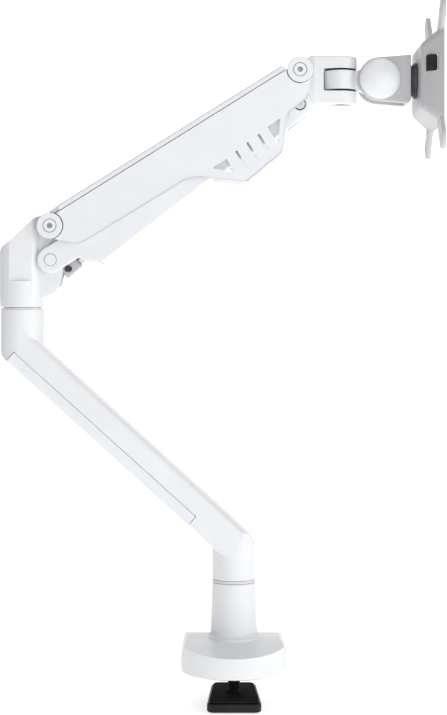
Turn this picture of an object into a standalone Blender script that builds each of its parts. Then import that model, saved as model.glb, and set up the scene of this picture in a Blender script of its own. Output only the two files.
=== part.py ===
"""A gas-spring monitor arm: a base clamped through a desk, a bent lower arm, a parallelogram
upper arm with its gas strut, a panning and tilting head and a four-pronged screen plate.

Lengths are in millimetres and are scaled to metres as each mesh is made. Z = 0 is the desk's
top, the base's swivel axis is X = Y = 0, +X runs from the elbow towards the screen, and the
arm's near side faces -Y. Every moving piece is built in the frame of its own joint, an empty.
"""

from math import atan2, cos, degrees, hypot, pi, radians, sin, tan

import bmesh
import bpy
from mathutils import Matrix, Vector

MM = 0.001
GAP = 0.3  # room kept between two pieces that touch
ROUND = 24  # sides of a round piece
FINE_ROUND = 36
SMALL_ROUND = 12

# Base and clamp
BASE_HALF_WIDTH = 42.5
BASE_END_CENTRE = 15.0  # the plan's round ends are centred this far along Y
BASE_BOTTOM = 1.2
BASE_RIDGE = 26.5
BASE_EDGE = 17.5  # the top slopes down to this height at its near and far edges
BASE_SHOULDER = (8.0, 19.0)  # width and height of the elliptical sides
COLUMN_FOOT = 18.7
COLUMN_FILLET = 4.5
COLUMN_TOP = 17.5
COLUMN_HEIGHT = 69.0
DESK_GAP = 20.0
CLAMP_THICKNESS = 8.6

# Lower arm
POST = 9.0  # radius of both swivel spindles
BUSH = 12.0
COLLAR = 17.5
LOWER_ARM_FOOT = 71.6
ELBOW_X = -170.4
LOWER_ARM_HEAD = 288.3
COVER_DEPTH = 10.0

# Elbow and the parallelogram
ELBOW_FOOT = 290.2
ELBOW_WIDE = 18.2
ELBOW_EAR = 11.0
ELBOW_FACET = 15.9  # the flats on the upper half of its round body
EAR_HALF = 14.3  # half the thickness of the ears that the pins pass through
REAR_X, REAR_Z = -146.5, 355.0
PIVOT_DROP = 27.0  # the lower pivots lie this far under the upper ones
ARM_LENGTH = 234.4
ARM_ANGLE = radians(31.94)
PIN = 4.0
LINK_PIN = 4.7
LINK_INNER, LINK_OUTER = 14.6, 16.8
FRAME_INNER, FRAME_OUTER = 17.2, 19.4
COVER_INNER, COVER_OUTER = 19.7, 23.2
DISC = 10.2

# Gas strut: its front eye on the arm, its rear eye on the elbow
STRUT_FRONT = (190.0, -4.0)  # along and across the upper arm
STRUT_REAR = (-133.0, 321.0)  # X and Z at rest
CYLINDER = 9.0
STRUT_ROD = 4.0

# Head
HEAD_Z = 472.5
PAN_X = 86.0
TILT_X = 116.6
BRACKET_FRONT = 141.3
BARREL = 13.0
YOKE_BARREL = 13.9
DOME = 16.4
PLATE_BACK, PLATE_FRONT = 147.0, 164.0
LATCH_X, LATCH_Z = 155.0, 9.2

FRONT_X = REAR_X + ARM_LENGTH * cos(ARM_ANGLE)
FRONT_Z = REAR_Z + ARM_LENGTH * sin(ARM_ANGLE)


# Scene -----------------------------------------------------------------------------------


def clear_scene():
    for obj in list(bpy.data.objects):
        bpy.data.objects.remove(obj, do_unlink=True)


def new_collection(name):
    found = bpy.data.collections.new(name)
    bpy.context.scene.collection.children.link(found)
    return found


def finish(name, colour, roughness, metallic=0.0):
    material = bpy.data.materials.new(name)
    material.use_nodes = True
    shader = material.node_tree.nodes["Principled BSDF"]
    shader.inputs["Base Color"].default_value = (*colour, 1.0)
    shader.inputs["Roughness"].default_value = roughness
    shader.inputs["Metallic"].default_value = metallic
    material.diffuse_color = (*colour, 1.0)
    return material


clear_scene()
PARTS = new_collection("monitor_arm")
CUTTERS = new_collection("cutters")
WHITE = finish("white_powder_coat", (0.86, 0.87, 0.88), 0.42)
SHELL = finish("white_plastic", (0.84, 0.86, 0.88), 0.5)
GREY = finish("grey_casting", (0.62, 0.63, 0.65), 0.45)
BLACK = finish("black_plastic", (0.015, 0.015, 0.016), 0.4)
RUBBER = finish("rubber", (0.02, 0.02, 0.02), 0.9)
STEEL = finish("zinc_steel", (0.6, 0.6, 0.6), 0.3, 1.0)
DARK = finish("dark_steel", (0.12, 0.12, 0.13), 0.4, 0.8)
ACETAL = finish("acetal", (0.75, 0.75, 0.72), 0.55)


def joint_frame(name, place, parent=None, turn=0.0):
    """An empty on a joint's axis. Turn lifts its X axis towards Z."""
    empty = bpy.data.objects.new(name, None)
    PARTS.objects.link(empty)
    empty.empty_display_size = 0.02
    empty.location = Vector(place) * MM
    empty.rotation_euler = (0.0, -turn, 0.0)
    if parent:
        empty.parent = parent
        empty.matrix_parent_inverse = parent.matrix_world.inverted()
    bpy.context.view_layer.update()
    return empty


# Shapes ----------------------------------------------------------------------------------


def place_object(name, mesh, frame, material=None):
    """Adds a mesh as a part, or as a hidden cutter when it has no material."""
    obj = bpy.data.objects.new(name, mesh)
    (PARTS if material else CUTTERS).objects.link(obj)
    obj.parent = frame
    if material:
        mesh.materials.append(material)
        mesh.shade_smooth()
        mesh.set_sharp_from_angle(angle=radians(35))
    else:
        obj.hide_render = True
        obj.display_type = "WIRE"
    return obj


def arc(centre, radius, start, end, steps):
    """Points on a circle from one angle to another, in degrees."""
    found = []
    for i in range(steps + 1):
        angle = radians(start + (end - start) * i / steps)
        found.append((centre[0] + radius * cos(angle), centre[1] + radius * sin(angle)))
    return found


def rounded(corners, steps=5):
    """An outline whose corners (x, y, radius) are rounded off; a corner without one is sharp."""
    found = []
    for i, corner in enumerate(corners):
        here = Vector(corner[:2])
        radius = corner[2] if len(corner) > 2 else 0.0
        if not radius:
            found.append(tuple(here))
            continue
        before = (Vector(corners[i - 1][:2]) - here).normalized()
        after = (Vector(corners[(i + 1) % len(corners)][:2]) - here).normalized()
        half = before.angle(after) / 2
        start = here + before * radius / tan(half)
        centre = here + (before + after).normalized() * radius / sin(half)
        first = atan2(start.y - centre.y, start.x - centre.x)
        end = here + after * radius / tan(half)
        sweep = atan2(end.y - centre.y, end.x - centre.x) - first
        sweep = (sweep + pi) % (2 * pi) - pi
        found += arc(centre, radius, degrees(first), degrees(first + sweep), steps)
    return found


def capsule(half_length, radius, steps=10, along_x=False):
    """A stadium about the origin, long in Y unless told otherwise."""
    outline = arc((0, half_length), radius, 0, 180, steps) + arc((0, -half_length), radius, 180, 360, steps)
    return [(y, -x) for x, y in outline] if along_x else outline


AXIS_TURNS = {"X": (pi / 2, 0.0, pi / 2), "Y": (pi / 2, 0.0, 0.0), "Z": (0.0, 0.0, 0.0)}


def slab(name, outline, low, high, frame, material=None, axis="Y", bevel=0.0, taper=None):
    """A flat outline with thickness from low to high along an axis.

    The outline is in X and Z for axis Y, in X and Y for axis Z, and in Y and Z for axis X.
    A bevel rounds its long edges, and a taper (x, y) scales the outline at its low face.
    """
    curve = bpy.data.curves.new(name + "_outline", "CURVE")
    curve.dimensions = "2D"
    curve.fill_mode = "BOTH"
    curve.extrude = (high - low) / 2 * MM
    spline = curve.splines.new("POLY")
    spline.points.add(len(outline) - 1)
    for point, (x, y) in zip(spline.points, outline):
        point.co = (x * MM, y * MM, 0.0, 1.0)
    spline.use_cyclic_u = True
    flat = bpy.data.objects.new(name + "_outline", curve)
    CUTTERS.objects.link(flat)
    middle = (low + high) / 2 * MM
    flat.rotation_euler = AXIS_TURNS[axis]
    flat.location["XYZ".index(axis)] = middle
    bpy.context.view_layer.update()
    mesh = bpy.data.meshes.new_from_object(flat.evaluated_get(bpy.context.evaluated_depsgraph_get()))
    mesh.name = name
    body = bmesh.new()
    body.from_mesh(mesh)
    bmesh.ops.remove_doubles(body, verts=body.verts, dist=1e-6)
    bmesh.ops.dissolve_limit(body, angle_limit=radians(0.5), verts=body.verts, edges=body.edges)
    if taper:
        for vert in body.verts:
            if vert.co.z < 0:
                vert.co.x *= taper[0]
                vert.co.y *= taper[1]
    if bevel:
        rims = [e for e in body.edges if abs(e.verts[0].co.z - e.verts[1].co.z) < 1e-7]
        bmesh.ops.bevel(
            body, geom=rims, offset=bevel * MM, segments=1, profile=0.5, affect="EDGES",
            clamp_overlap=True, material=-1,
        )
    bmesh.ops.recalc_face_normals(body, faces=body.faces)
    body.to_mesh(mesh)
    body.free()
    mesh.transform(flat.matrix_world)
    bpy.data.objects.remove(flat)
    return place_object(name, mesh, frame, material)


def rod(name, radius, low, high, at, frame, material=None, axis="Z", sides=ROUND, top_radius=None):
    """A cylinder, or a cone with a top radius, from low to high along an axis; at is its place across."""
    body = bmesh.new()
    bmesh.ops.create_cone(
        body, cap_ends=True, segments=sides, depth=(high - low) * MM,
        radius1=radius * MM, radius2=(top_radius or radius) * MM,
    )
    turn = Matrix.Rotation(AXIS_TURNS[axis][2], 4, "Z") @ Matrix.Rotation(AXIS_TURNS[axis][0], 4, "X")
    middle = (low + high) / 2
    centre = {"X": (middle, at[0], at[1]), "Y": (at[0], middle, at[1]), "Z": (at[0], at[1], middle)}[axis]
    body.transform(Matrix.Translation(Vector(centre) * MM) @ turn)
    mesh = bpy.data.meshes.new(name)
    body.to_mesh(mesh)
    body.free()
    return place_object(name, mesh, frame, material)


def block(name, low, high, frame, material=None, bevel=0.0):
    """A box between two corners."""
    body = bmesh.new()
    bmesh.ops.create_cube(body, size=1.0)
    low, high = Vector(low) * MM, Vector(high) * MM
    bmesh.ops.scale(body, vec=high - low, verts=body.verts)
    bmesh.ops.translate(body, vec=(high + low) / 2, verts=body.verts)
    if bevel:
        bmesh.ops.bevel(
            body, geom=body.edges[:], offset=bevel * MM, segments=1, profile=0.5, affect="EDGES",
            clamp_overlap=True, material=-1,
        )
    mesh = bpy.data.meshes.new(name)
    body.to_mesh(mesh)
    body.free()
    return place_object(name, mesh, frame, material)


def turned(name, profile, frame, material=None, steps=ROUND, at=(0.0, 0.0, 0.0), axis="Z"):
    """A profile of (radius, height) turned about an axis, its outer side listed from the top down.

    A profile that leaves the axis is closed into a ring.
    """
    body = bmesh.new()
    verts = [body.verts.new((radius * MM, 0.0, height * MM)) for radius, height in profile]
    for one, other in zip(verts, verts[1:]):
        body.edges.new((one, other))
    if profile[0][0] > 0:
        body.edges.new((verts[-1], verts[0]))
    mesh = bpy.data.meshes.new(name)
    body.to_mesh(mesh)
    body.free()
    obj = bpy.data.objects.new(name, mesh)
    CUTTERS.objects.link(obj)
    screw = obj.modifiers.new("turn", "SCREW")
    screw.steps = screw.render_steps = steps
    screw.use_merge_vertices = True
    screw.merge_threshold = 1e-5
    bpy.context.view_layer.update()
    solid = bpy.data.meshes.new_from_object(obj.evaluated_get(bpy.context.evaluated_depsgraph_get()))
    solid.name = name
    bpy.data.objects.remove(obj)
    body = bmesh.new()
    body.from_mesh(solid)
    bmesh.ops.recalc_face_normals(body, faces=body.faces)
    body.to_mesh(solid)
    body.free()
    turns = {"X": Matrix.Rotation(pi / 2, 4, "Y"), "Y": Matrix.Rotation(pi / 2, 4, "X"), "Z": Matrix()}
    solid.transform(Matrix.Translation(Vector(at) * MM) @ turns[axis])
    return place_object(name, solid, frame, material)


def ring(name, inner, outer, low, high, frame, material=None, steps=ROUND, at=(0.0, 0.0, 0.0), axis="Z"):
    profile = [(outer, high), (outer, low), (inner, low), (inner, high)]
    return turned(name, profile, frame, material, steps, at, axis)


def boolean(target, other, operation):
    modifier = target.modifiers.new(operation.lower(), "BOOLEAN")
    modifier.operation = operation
    modifier.object = other
    modifier.solver = "EXACT"


def cut(target, *cutters):
    for cutter in cutters:
        boolean(target, cutter, "DIFFERENCE")


def join(target, *others):
    for other in others:
        boolean(target, other, "UNION")


def trim(target, *others):
    for other in others:
        boolean(target, other, "INTERSECT")


# Joint frames ----------------------------------------------------------------------------

BASE = joint_frame("base_frame", (0, 0, 0))
CLAMP = joint_frame("clamp_frame", (0, 0, 0), BASE)
LOWER = joint_frame("base_swivel", (0, 0, 0), BASE)
ELBOW = joint_frame("elbow_swivel", (ELBOW_X, 0, 0), LOWER)
ARM = joint_frame("lift", (REAR_X, 0, REAR_Z), ELBOW, ARM_ANGLE)
LINK = joint_frame("link_swing", (REAR_X, 0, REAR_Z - PIVOT_DROP), ELBOW, ARM_ANGLE)
KNUCKLE = joint_frame("head_level", (FRONT_X, 0, FRONT_Z), ARM)
PAN = joint_frame("head_pan", (PAN_X, 0, HEAD_Z), KNUCKLE)
TILT = joint_frame("head_tilt", (TILT_X, 0, HEAD_Z), PAN)
HEAD = joint_frame("head_rotation", (0, 0, HEAD_Z), TILT)
LATCH = joint_frame("latch_press", (LATCH_X, 0, HEAD_Z + LATCH_Z), HEAD)

STRUT_X = REAR_X + STRUT_FRONT[0] * cos(ARM_ANGLE) - STRUT_FRONT[1] * sin(ARM_ANGLE)
STRUT_Z = REAR_Z + STRUT_FRONT[0] * sin(ARM_ANGLE) + STRUT_FRONT[1] * cos(ARM_ANGLE)
STRUT_LENGTH = hypot(STRUT_REAR[0] - STRUT_X, STRUT_REAR[1] - STRUT_Z)
STRUT = joint_frame(
    "strut_swing", (STRUT_X, 0, STRUT_Z), ARM, atan2(STRUT_REAR[1] - STRUT_Z, STRUT_REAR[0] - STRUT_X)
)


# Base and clamp --------------------------------------------------------------------------

NUT_LOW, NUT_HIGH = 4.5, 13.6
PLATE_TOP = 4.2
POCKET_TOP = 14.0
BOLT = 4.9
BOLT_TOP = 24.0
SCREW_Y = 43.0


def base_casting():
    width = BASE_HALF_WIDTH
    across, up = BASE_SHOULDER
    quarter = [(cos(radians(a)), sin(radians(a))) for a in (0, 18, 36, 54, 72, 90)]
    shoulder = [(width - across + across * c, BASE_RIDGE - up + up * s) for c, s in quarter]
    side_view = [(-width, BASE_BOTTOM), (width, BASE_BOTTOM)] + shoulder + [(-x, z) for x, z in shoulder[::-1]]
    reach = BASE_END_CENTRE + width + 1
    casting = slab("base_casting", side_view, -reach, reach, BASE, WHITE)
    plan = capsule(BASE_END_CENTRE, width, 16)
    ridge = 7.0
    slopes = [(-reach, -1), (reach, -1), (reach, BASE_EDGE), (ridge, BASE_RIDGE + 0.1), (-ridge, BASE_RIDGE + 0.1),
              (-reach, BASE_EDGE)]
    trim(
        casting,
        slab("base_plan", plan, BASE_BOTTOM - 5, BASE_RIDGE + 5, BASE, axis="Z"),
        slab("base_slopes", slopes, -width - 5, width + 5, BASE, axis="X"),
    )
    foot_fillet = [
        (COLUMN_FOOT + COLUMN_FILLET * (1 - sin(radians(a))), BASE_RIDGE - 0.3 + COLUMN_FILLET * (1 - cos(radians(a))))
        for a in (90, 60, 30, 0)
    ]
    column = [(0, COLUMN_HEIGHT), (COLUMN_TOP, COLUMN_HEIGHT), *foot_fillet, (COLUMN_FOOT + COLUMN_FILLET, 15),
              (0, 15)]
    join(casting, turned("base_column", column, BASE, steps=FINE_ROUND))
    pocket = capsule(BASE_END_CENTRE, width - 5)
    cut(casting, slab("base_pocket", pocket, BASE_BOTTOM - 5, POCKET_TOP, BASE, axis="Z"))
    for side in (-1, 1):
        boss = rod("base_boss", 5, NUT_LOW, POCKET_TOP + 2, (0, side * SCREW_Y), BASE, sides=SMALL_ROUND)
        join(casting, boss)
        cut(casting, rod("base_boss_hole", 2.3, 0, 13, (0, side * SCREW_Y), BASE, sides=12))
    cut(
        casting,
        rod("bush_seat", BUSH + GAP, 34, COLUMN_HEIGHT + 5, (0, 0), BASE),
        rod("bolt_way", 6.5, 0, 40, (0, 0), BASE, sides=SMALL_ROUND),
    )


def base_inside():
    plate = slab(
        "base_bottom_plate", capsule(BASE_END_CENTRE, BASE_HALF_WIDTH - 5 - GAP), BASE_BOTTOM, PLATE_TOP,
        BASE, STEEL, axis="Z",
    )
    cut(plate, rod("plate_bore", 6.5, -5, 10, (0, 0), BASE, sides=SMALL_ROUND))
    pad = slab("base_pad", capsule(BASE_END_CENTRE, BASE_HALF_WIDTH - 1), 0, BASE_BOTTOM - GAP, BASE, RUBBER,
               axis="Z")
    cut(pad, rod("pad_bore", 7, -5, 10, (0, 0), BASE, sides=SMALL_ROUND))
    nut = block("base_nut", (-17, -17, NUT_LOW), (17, 17, NUT_HIGH), BASE, STEEL, 1.0)
    cut(nut, rod("nut_bore", BOLT + 0.15, 0, 20, (0, 0), BASE, sides=ROUND))
    for side, name in ((-1, "base_screw_near"), (1, "base_screw_far")):
        at = (0, side * SCREW_Y, 0)
        cut(
            plate,
            rod("plate_screw_head_way", 4.2, 0, 3.4, at[:2], BASE, sides=SMALL_ROUND),
            rod("plate_screw_way", 2.3, 0, 10, at[:2], BASE, sides=12),
        )
        profile = [(0, 12), (2, 12), (2, 3.1), (3.9, 3.1), (3.9, 1.5), (0, 1.5)]
        turned(name, profile, BASE, STEEL, SMALL_ROUND, at)
    ring("base_bush", POST + 0.1, BUSH, 36, COLUMN_HEIGHT - 0.5, BASE, ACETAL)
    ring("base_washer_ring", POST + 0.4, COLLAR - 0.2, COLUMN_HEIGHT + GAP, LOWER_ARM_FOOT - GAP, BASE, ACETAL,
         steps=FINE_ROUND)


def clamp():
    top = -DESK_GAP
    near, far = 21.8, 18.3
    outline = rounded([(-near, -38, 6), (near, -38, 6), (far, 39, 6), (-far, 39, 6)])
    low = top - CLAMP_THICKNESS
    plate = slab("clamp_plate", outline, low, top - 1.3, CLAMP, BLACK, axis="Z", bevel=1.5)
    hollow = rounded([(-near + 4, -34, 4), (near - 4, -34, 4), (far - 4, 35, 4), (-far + 4, 35, 4)])
    cut(plate, slab("clamp_hollow", hollow, low - 5, top - 5, CLAMP, axis="Z"))
    join(plate, rod("clamp_boss", 12, low + 0.8, top - 4, (0, 0), CLAMP))
    cut(
        plate,
        rod("clamp_bore", 5.4, low - 5, top, (0, 0), CLAMP, sides=SMALL_ROUND),
        rod("clamp_head_way", 9, low - 5, top - 4.4, (0, 0), CLAMP, sides=ROUND),
    )
    face = rounded([(-near + 2, -36, 5), (near - 2, -36, 5), (far - 2, 37, 5), (-far + 2, 37, 5)])
    pad = slab("clamp_pad", face, top - 1.0, top, CLAMP, RUBBER, axis="Z")
    cut(pad, rod("clamp_pad_bore", 6, top - 5, top + 5, (0, 0), CLAMP, sides=SMALL_ROUND))
    ring("clamp_washer", 5.4, 8.6, top - 5.6, top - 4.7, CLAMP, STEEL)
    head = low + 0.4
    bolt = turned(
        "clamp_bolt", [(0, BOLT_TOP), (BOLT - 1, BOLT_TOP), (BOLT, BOLT_TOP - 1), (BOLT, top - 5.9), (8, top - 5.9),
                       (8, head), (0, head)], CLAMP, DARK,
    )
    cut(bolt, rod("clamp_bolt_socket", 4.2, head - 3, head + 1.6, (0, 0), CLAMP, sides=6))


# Lower arm -------------------------------------------------------------------------------

BEAM_TOP = ((14.3, 106.1), (-150.4, 256.6))
BEAM_UNDER = ((-34.5, 113.9), (-182.9, 247.8))
BEAM_UNDER_ANGLE = atan2(BEAM_UNDER[1][1] - BEAM_UNDER[0][1], BEAM_UNDER[1][0] - BEAM_UNDER[0][0])


def along_underside(distance, depth):
    """A point this far up the beam's underside and this deep in it."""
    start = BEAM_UNDER[0]
    c, s = cos(BEAM_UNDER_ANGLE), sin(BEAM_UNDER_ANGLE)
    return (start[0] + distance * c + depth * s, start[1] + distance * s - depth * c)


UNDERSIDE_LENGTH = hypot(BEAM_UNDER[1][0] - BEAM_UNDER[0][0], BEAM_UNDER[1][1] - BEAM_UNDER[0][1])
COVER_SPAN = (3.0, UNDERSIDE_LENGTH - 1.0)


def beam_outline(inset):
    """The beam's side view. The inset keeps it inside the collars' radius."""
    side = COLLAR - inset
    return rounded(
        [
            (side, 88), (side, 98.9, 8), (*BEAM_TOP[0], 10), (*BEAM_TOP[1], 12), (ELBOW_X + side, 266),
            (ELBOW_X + side, 284), (ELBOW_X - side, 284), (ELBOW_X - side, 252.9, 10), (*BEAM_UNDER[1], 5),
            BEAM_UNDER[0], (-22.5, 103.0, 12), (-side, 92), (-side, 88),
        ]
    )


def lower_arm():
    arm = slab("lower_arm", beam_outline(0.2), -17.2, 17.2, LOWER, WHITE, bevel=4.5)
    plan = [(x + ELBOW_X / 2, y) for x, y in capsule(-ELBOW_X / 2, COLLAR - 0.2, 16, along_x=True)]
    trim(arm, slab("lower_arm_plan", plan, 60, 300, LOWER, axis="Z"))
    join(
        arm,
        rod("lower_collar", COLLAR, LOWER_ARM_FOOT, 96, (0, 0), LOWER, sides=FINE_ROUND),
        rod("upper_collar", COLLAR, 262, LOWER_ARM_HEAD, (ELBOW_X, 0), LOWER, sides=FINE_ROUND),
    )
    first, last = COVER_SPAN
    strip = [
        along_underside(first, -9), along_underside(first, COVER_DEPTH), along_underside(last, COVER_DEPTH),
        along_underside(last, -9),
    ]
    cut(
        arm,
        slab("cable_cover_seat", strip, -30, 30, LOWER),
        rod("post_seat", POST + GAP, 60, 88, (0, 0), LOWER),
        rod("top_bush_seat", BUSH + GAP, 256, 300, (ELBOW_X, 0), LOWER),
    )
    rod("lower_arm_post", POST, 37, 87.7, (0, 0), LOWER, STEEL)
    ring("elbow_bush", POST + 0.1, BUSH, 258, LOWER_ARM_HEAD - 0.5, LOWER, ACETAL, at=(ELBOW_X, 0, 0))
    ring("elbow_washer_ring", POST + 0.4, COLLAR - 0.4, LOWER_ARM_HEAD + GAP, ELBOW_FOOT - GAP, LOWER, ACETAL,
         at=(ELBOW_X, 0, 0), steps=FINE_ROUND)


def cable_cover():
    wall = 2.2
    first, last = COVER_SPAN[0] + GAP, COVER_SPAN[1] - GAP
    top = COVER_DEPTH - GAP
    outline = [along_underside(first, 0), along_underside(first, top), along_underside(last, top),
               along_underside(last, 0)]
    cover = slab("lower_cable_cover", outline, -17, 17, LOWER, SHELL, bevel=2.5)
    channel = [
        along_underside(first + wall, wall), along_underside(first + wall, top + 5),
        along_underside(last - wall, top + 5), along_underside(last - wall, wall),
    ]
    cut(cover, slab("cable_channel", channel, -17 + wall, 17 - wall, LOWER))
    for start in (first + 11, last - 21):
        window = [along_underside(start, -5), along_underside(start, wall + 1), along_underside(start + 16, wall + 1),
                  along_underside(start + 16, -5)]
        cut(cover, slab("cable_window", window, -8, 8, LOWER))


# Elbow -----------------------------------------------------------------------------------


def elbow():
    ear = REAR_X - ELBOW_X
    lower_pivot = REAR_Z - PIVOT_DROP
    side_view = rounded(
        [
            (-17.3, ELBOW_FOOT), (-17.6, 297), (-ELBOW_WIDE, 302), (-ELBOW_WIDE, 337, 8), (-10.6, 342, 6),
            (11.4, 362, 8), (ear - 4, 364.6, 4), (ear + 9.6, 364.6, 9), (ear + 9.6, 318, 6), (ear + 6.5, 307, 8),
            (27, 302.3, 6), (8.1, 293.5), (8.1, ELBOW_FOOT),
        ]
    )
    casting = slab("elbow_casting", side_view, -ELBOW_WIDE, ELBOW_WIDE, ELBOW, WHITE)
    plan = arc((0, 0), ELBOW_WIDE, 37, 323, 28) + [(22, -ELBOW_EAR), (60, -ELBOW_EAR), (60, ELBOW_EAR), (22, ELBOW_EAR)]
    trim(casting, slab("elbow_plan", plan, 280, 380, ELBOW, axis="Z"))
    join(
        casting,
        rod("elbow_foot", 17.3, ELBOW_FOOT, 299, (0, 0), ELBOW, sides=FINE_ROUND),
        rod("upper_boss", 8.8, -EAR_HALF, EAR_HALF, (ear, REAR_Z), ELBOW, axis="Y"),
        rod("lower_boss", 8.8, -EAR_HALF, EAR_HALF, (ear, lower_pivot), ELBOW, axis="Y"),
    )
    facet = [(-30, 311), (30, 311), (30, 400), (-30, 400)]
    for side in (-1, 1):
        near, far = sorted((side * ELBOW_FACET, side * 30))
        cut(casting, slab("elbow_facet", facet, near, far, ELBOW))
    slot = [(9.4, 307), (60, 307), (60, 400), (9.4, 400)]
    cut(
        casting,
        slab("elbow_slot", slot, -7.6, 7.6, ELBOW),
        rod("elbow_post_seat", POST + GAP, 280, 305, (0, 0), ELBOW),
        rod("elbow_upper_bore", PIN + GAP, -40, 40, (ear, REAR_Z), ELBOW, axis="Y", sides=SMALL_ROUND),
        rod("elbow_lower_bore", LINK_PIN + GAP, -40, 40, (ear, lower_pivot), ELBOW, axis="Y", sides=SMALL_ROUND),
    )
    rod("elbow_post", POST, 260, 304.7, (0, 0), ELBOW, STEEL)
    pivot_pin("rear_upper_pin", ELBOW, ear, REAR_Z)
    rod("rear_lower_pin", LINK_PIN, -17.3, 17.3, (ear, lower_pivot), ELBOW, WHITE, "Y", 24)


def pivot_pin(name, frame, x, z):
    """A pin with a flat socket head on the near side, and a screw cap on its far end."""
    head = COVER_OUTER - 1.6
    pin = turned(
        name, [(0, head + 1.8), (5.1, head + 1.8), (5.1, head), (PIN, head), (PIN, -head + GAP), (0, -head + GAP)],
        frame, WHITE, 24, (x, 0, z), "Y",
    )
    cut(pin, rod(name + "_socket", 2.2, -30, -head - 0.2, (x, z), frame, axis="Y", sides=6))
    cap = rod(name + "_cap", 5.1, head, head + 1.8, (x, z), frame, WHITE, "Y", 24)
    cut(cap, rod(name + "_cap_socket", 2.2, head + 0.4, 30, (x, z), frame, axis="Y", sides=6))


def tension_adjuster():
    """The screw and nut block that set the strut's load, inside the elbow's slot."""
    x = -ELBOW_X - 156.0
    screw = turned(
        "tension_screw", [(0, 349), (4.6, 349), (4.6, 343.5), (2.6, 343.5), (2.6, 309), (0, 309)], ELBOW, DARK,
        SMALL_ROUND, (x, 0, 0),
    )
    cut(screw, rod("tension_socket", 2.6, 346, 360, (x, 0), ELBOW, sides=6))
    trolley = block("tension_trolley", (12.4, -7.2, 312), (20.5, 7.2, 320), ELBOW, DARK, 0.6)
    cut(trolley, rod("trolley_bore", 2.9, 300, 330, (x, 0), ELBOW, sides=SMALL_ROUND))


# Upper arm -------------------------------------------------------------------------------

FIN_SLOTS = ((157.0, -44.3, -28.0), (168.0, -42.6, -27.0), (179.0, -42.0, -26.0))
WEB_SPAN = (14.0, 221.0)


def upper_arm_frame():
    outline = (
        arc((0, 0), 9.4, 38, 250, 12) + [(14, -13), (150, -14), (224, -12)]
        + arc((ARM_LENGTH, 0), 9.4, -110, 142, 14) + [(222, 5.8), (14, 5.8)]
    )
    frame = slab("upper_arm_frame", outline, -FRAME_OUTER, FRAME_OUTER, ARM, GREY)
    low, high = WEB_SPAN
    inside = [(-30, -40), (280, -40), (280, 40), (high, 40), (high, 2.6), (low, 2.6), (low, 40), (-30, 40)]
    cut(frame, slab("frame_inside", inside, -FRAME_INNER, FRAME_INNER, ARM))
    for u, v, radius in ((0, 0, PIN + GAP), (ARM_LENGTH, 0, PIN + GAP), (*STRUT_FRONT, 3.0 + GAP)):
        cut(frame, rod("frame_bore", radius, -40, 40, (u, v), ARM, axis="Y", sides=SMALL_ROUND))
    rod("strut_front_pin", 3.0, -FRAME_OUTER + 0.1, FRAME_OUTER - 0.1, STRUT_FRONT, ARM, STEEL, "Y", SMALL_ROUND)


def side_cover(name, side):
    outline = rounded(
        [
            (-1.9, -11.7), (12.9, -24.6, 6), (117, -25.6, 30), (150.4, -53.7, 2), (188.4, -48.6, 2),
            (207, -24.2, 12), (228.5, -21.6, 8), (237.6, -10.7), (236, 0), (ARM_LENGTH, 5.8), (0, 5.8),
        ]
    )
    low, high = sorted((side * COVER_INNER, side * COVER_OUTER))
    cover = slab(name, outline, low, high, ARM, SHELL, bevel=0.7)
    for u in (0, ARM_LENGTH):
        cut(cover, rod("disc_way", DISC + 0.5, low - 5, high + 5, (u, 0), ARM, axis="Y"))
    openings = [
        [(133.6, -29.5), (147.3, -29.5), (147.0, -42.5)],
        [(188.3, -25.0), (200.6, -24.4), (187.9, -42.0)],
    ] + [[(u - 1, v_low), (u + 1, v_low), (u + 1, v_high), (u - 1, v_high)] for u, v_low, v_high in FIN_SLOTS]
    for opening in openings:
        cut(cover, slab("fin_opening", rounded([(*p, 0.6) for p in opening], 2), low - 5, high + 5, ARM))


def pivot_disc(name, u, side):
    low, high = sorted((side * COVER_INNER, side * (COVER_OUTER + 0.4)))
    disc = rod(name, DISC, low, high, (u, 0), ARM, SHELL, "Y", 32)
    cut(disc, rod(name + "_bore", 5.5, low - 5, high + 5, (u, 0), ARM, axis="Y", sides=24))


def upper_arm():
    upper_arm_frame()
    side_cover("near_side_cover", -1)
    side_cover("far_side_cover", 1)
    top = 10.3
    strip = slab("top_cover", [(12.5, 6.1), (225.0, 6.1), (225.0, top), (12.5, top)], -22.6, 22.6, ARM, SHELL, bevel=0.9)
    tail = arc((0, 0), 10.5, 38, 60, 3) + [(5.6, top), (20, top), (20, 6.4)]
    join(strip, slab("top_cover_tail", tail, 0.1 - FRAME_OUTER, FRAME_OUTER - 0.1, ARM))
    for u, end in ((0, "rear"), (ARM_LENGTH, "front")):
        pivot_disc(end + "_near_disc", u, -1)
        pivot_disc(end + "_far_disc", u, 1)
    pivot_pin("front_upper_pin", ARM, ARM_LENGTH, 0)


# Lower link and gas strut ----------------------------------------------------------------


def lower_link():
    end = ARM_LENGTH
    outline = (
        arc((0, 0), 10.6, 90, 270, 12)
        + [(20.2, -10.6), (22.4, -14.3), (33.1, -23.9), (143.6, -13.1), (215.3, -12.1)]
        + arc((end, 0), 9.9, -100, 90, 12) + [(140, 7.5), (40, 10.6)]
    )
    link = slab("lower_link", outline, -LINK_OUTER, LINK_OUTER, LINK, WHITE, bevel=1.6)
    web = 2.2
    inside = [
        (-30, -40), (34, -40), (34, -23.8 + web), (143.6, -13.1 + web), (216, -12.1 + web),
        (216, -40), (300, -40), (300, 40), (-30, 40),
    ]
    cut(link, slab("link_inside", inside, -LINK_INNER, LINK_INNER, LINK))
    for u in (0, end):
        cut(link, rod("link_bore", LINK_PIN + GAP, -40, 40, (u, 0), LINK, axis="Y", sides=24))


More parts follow.
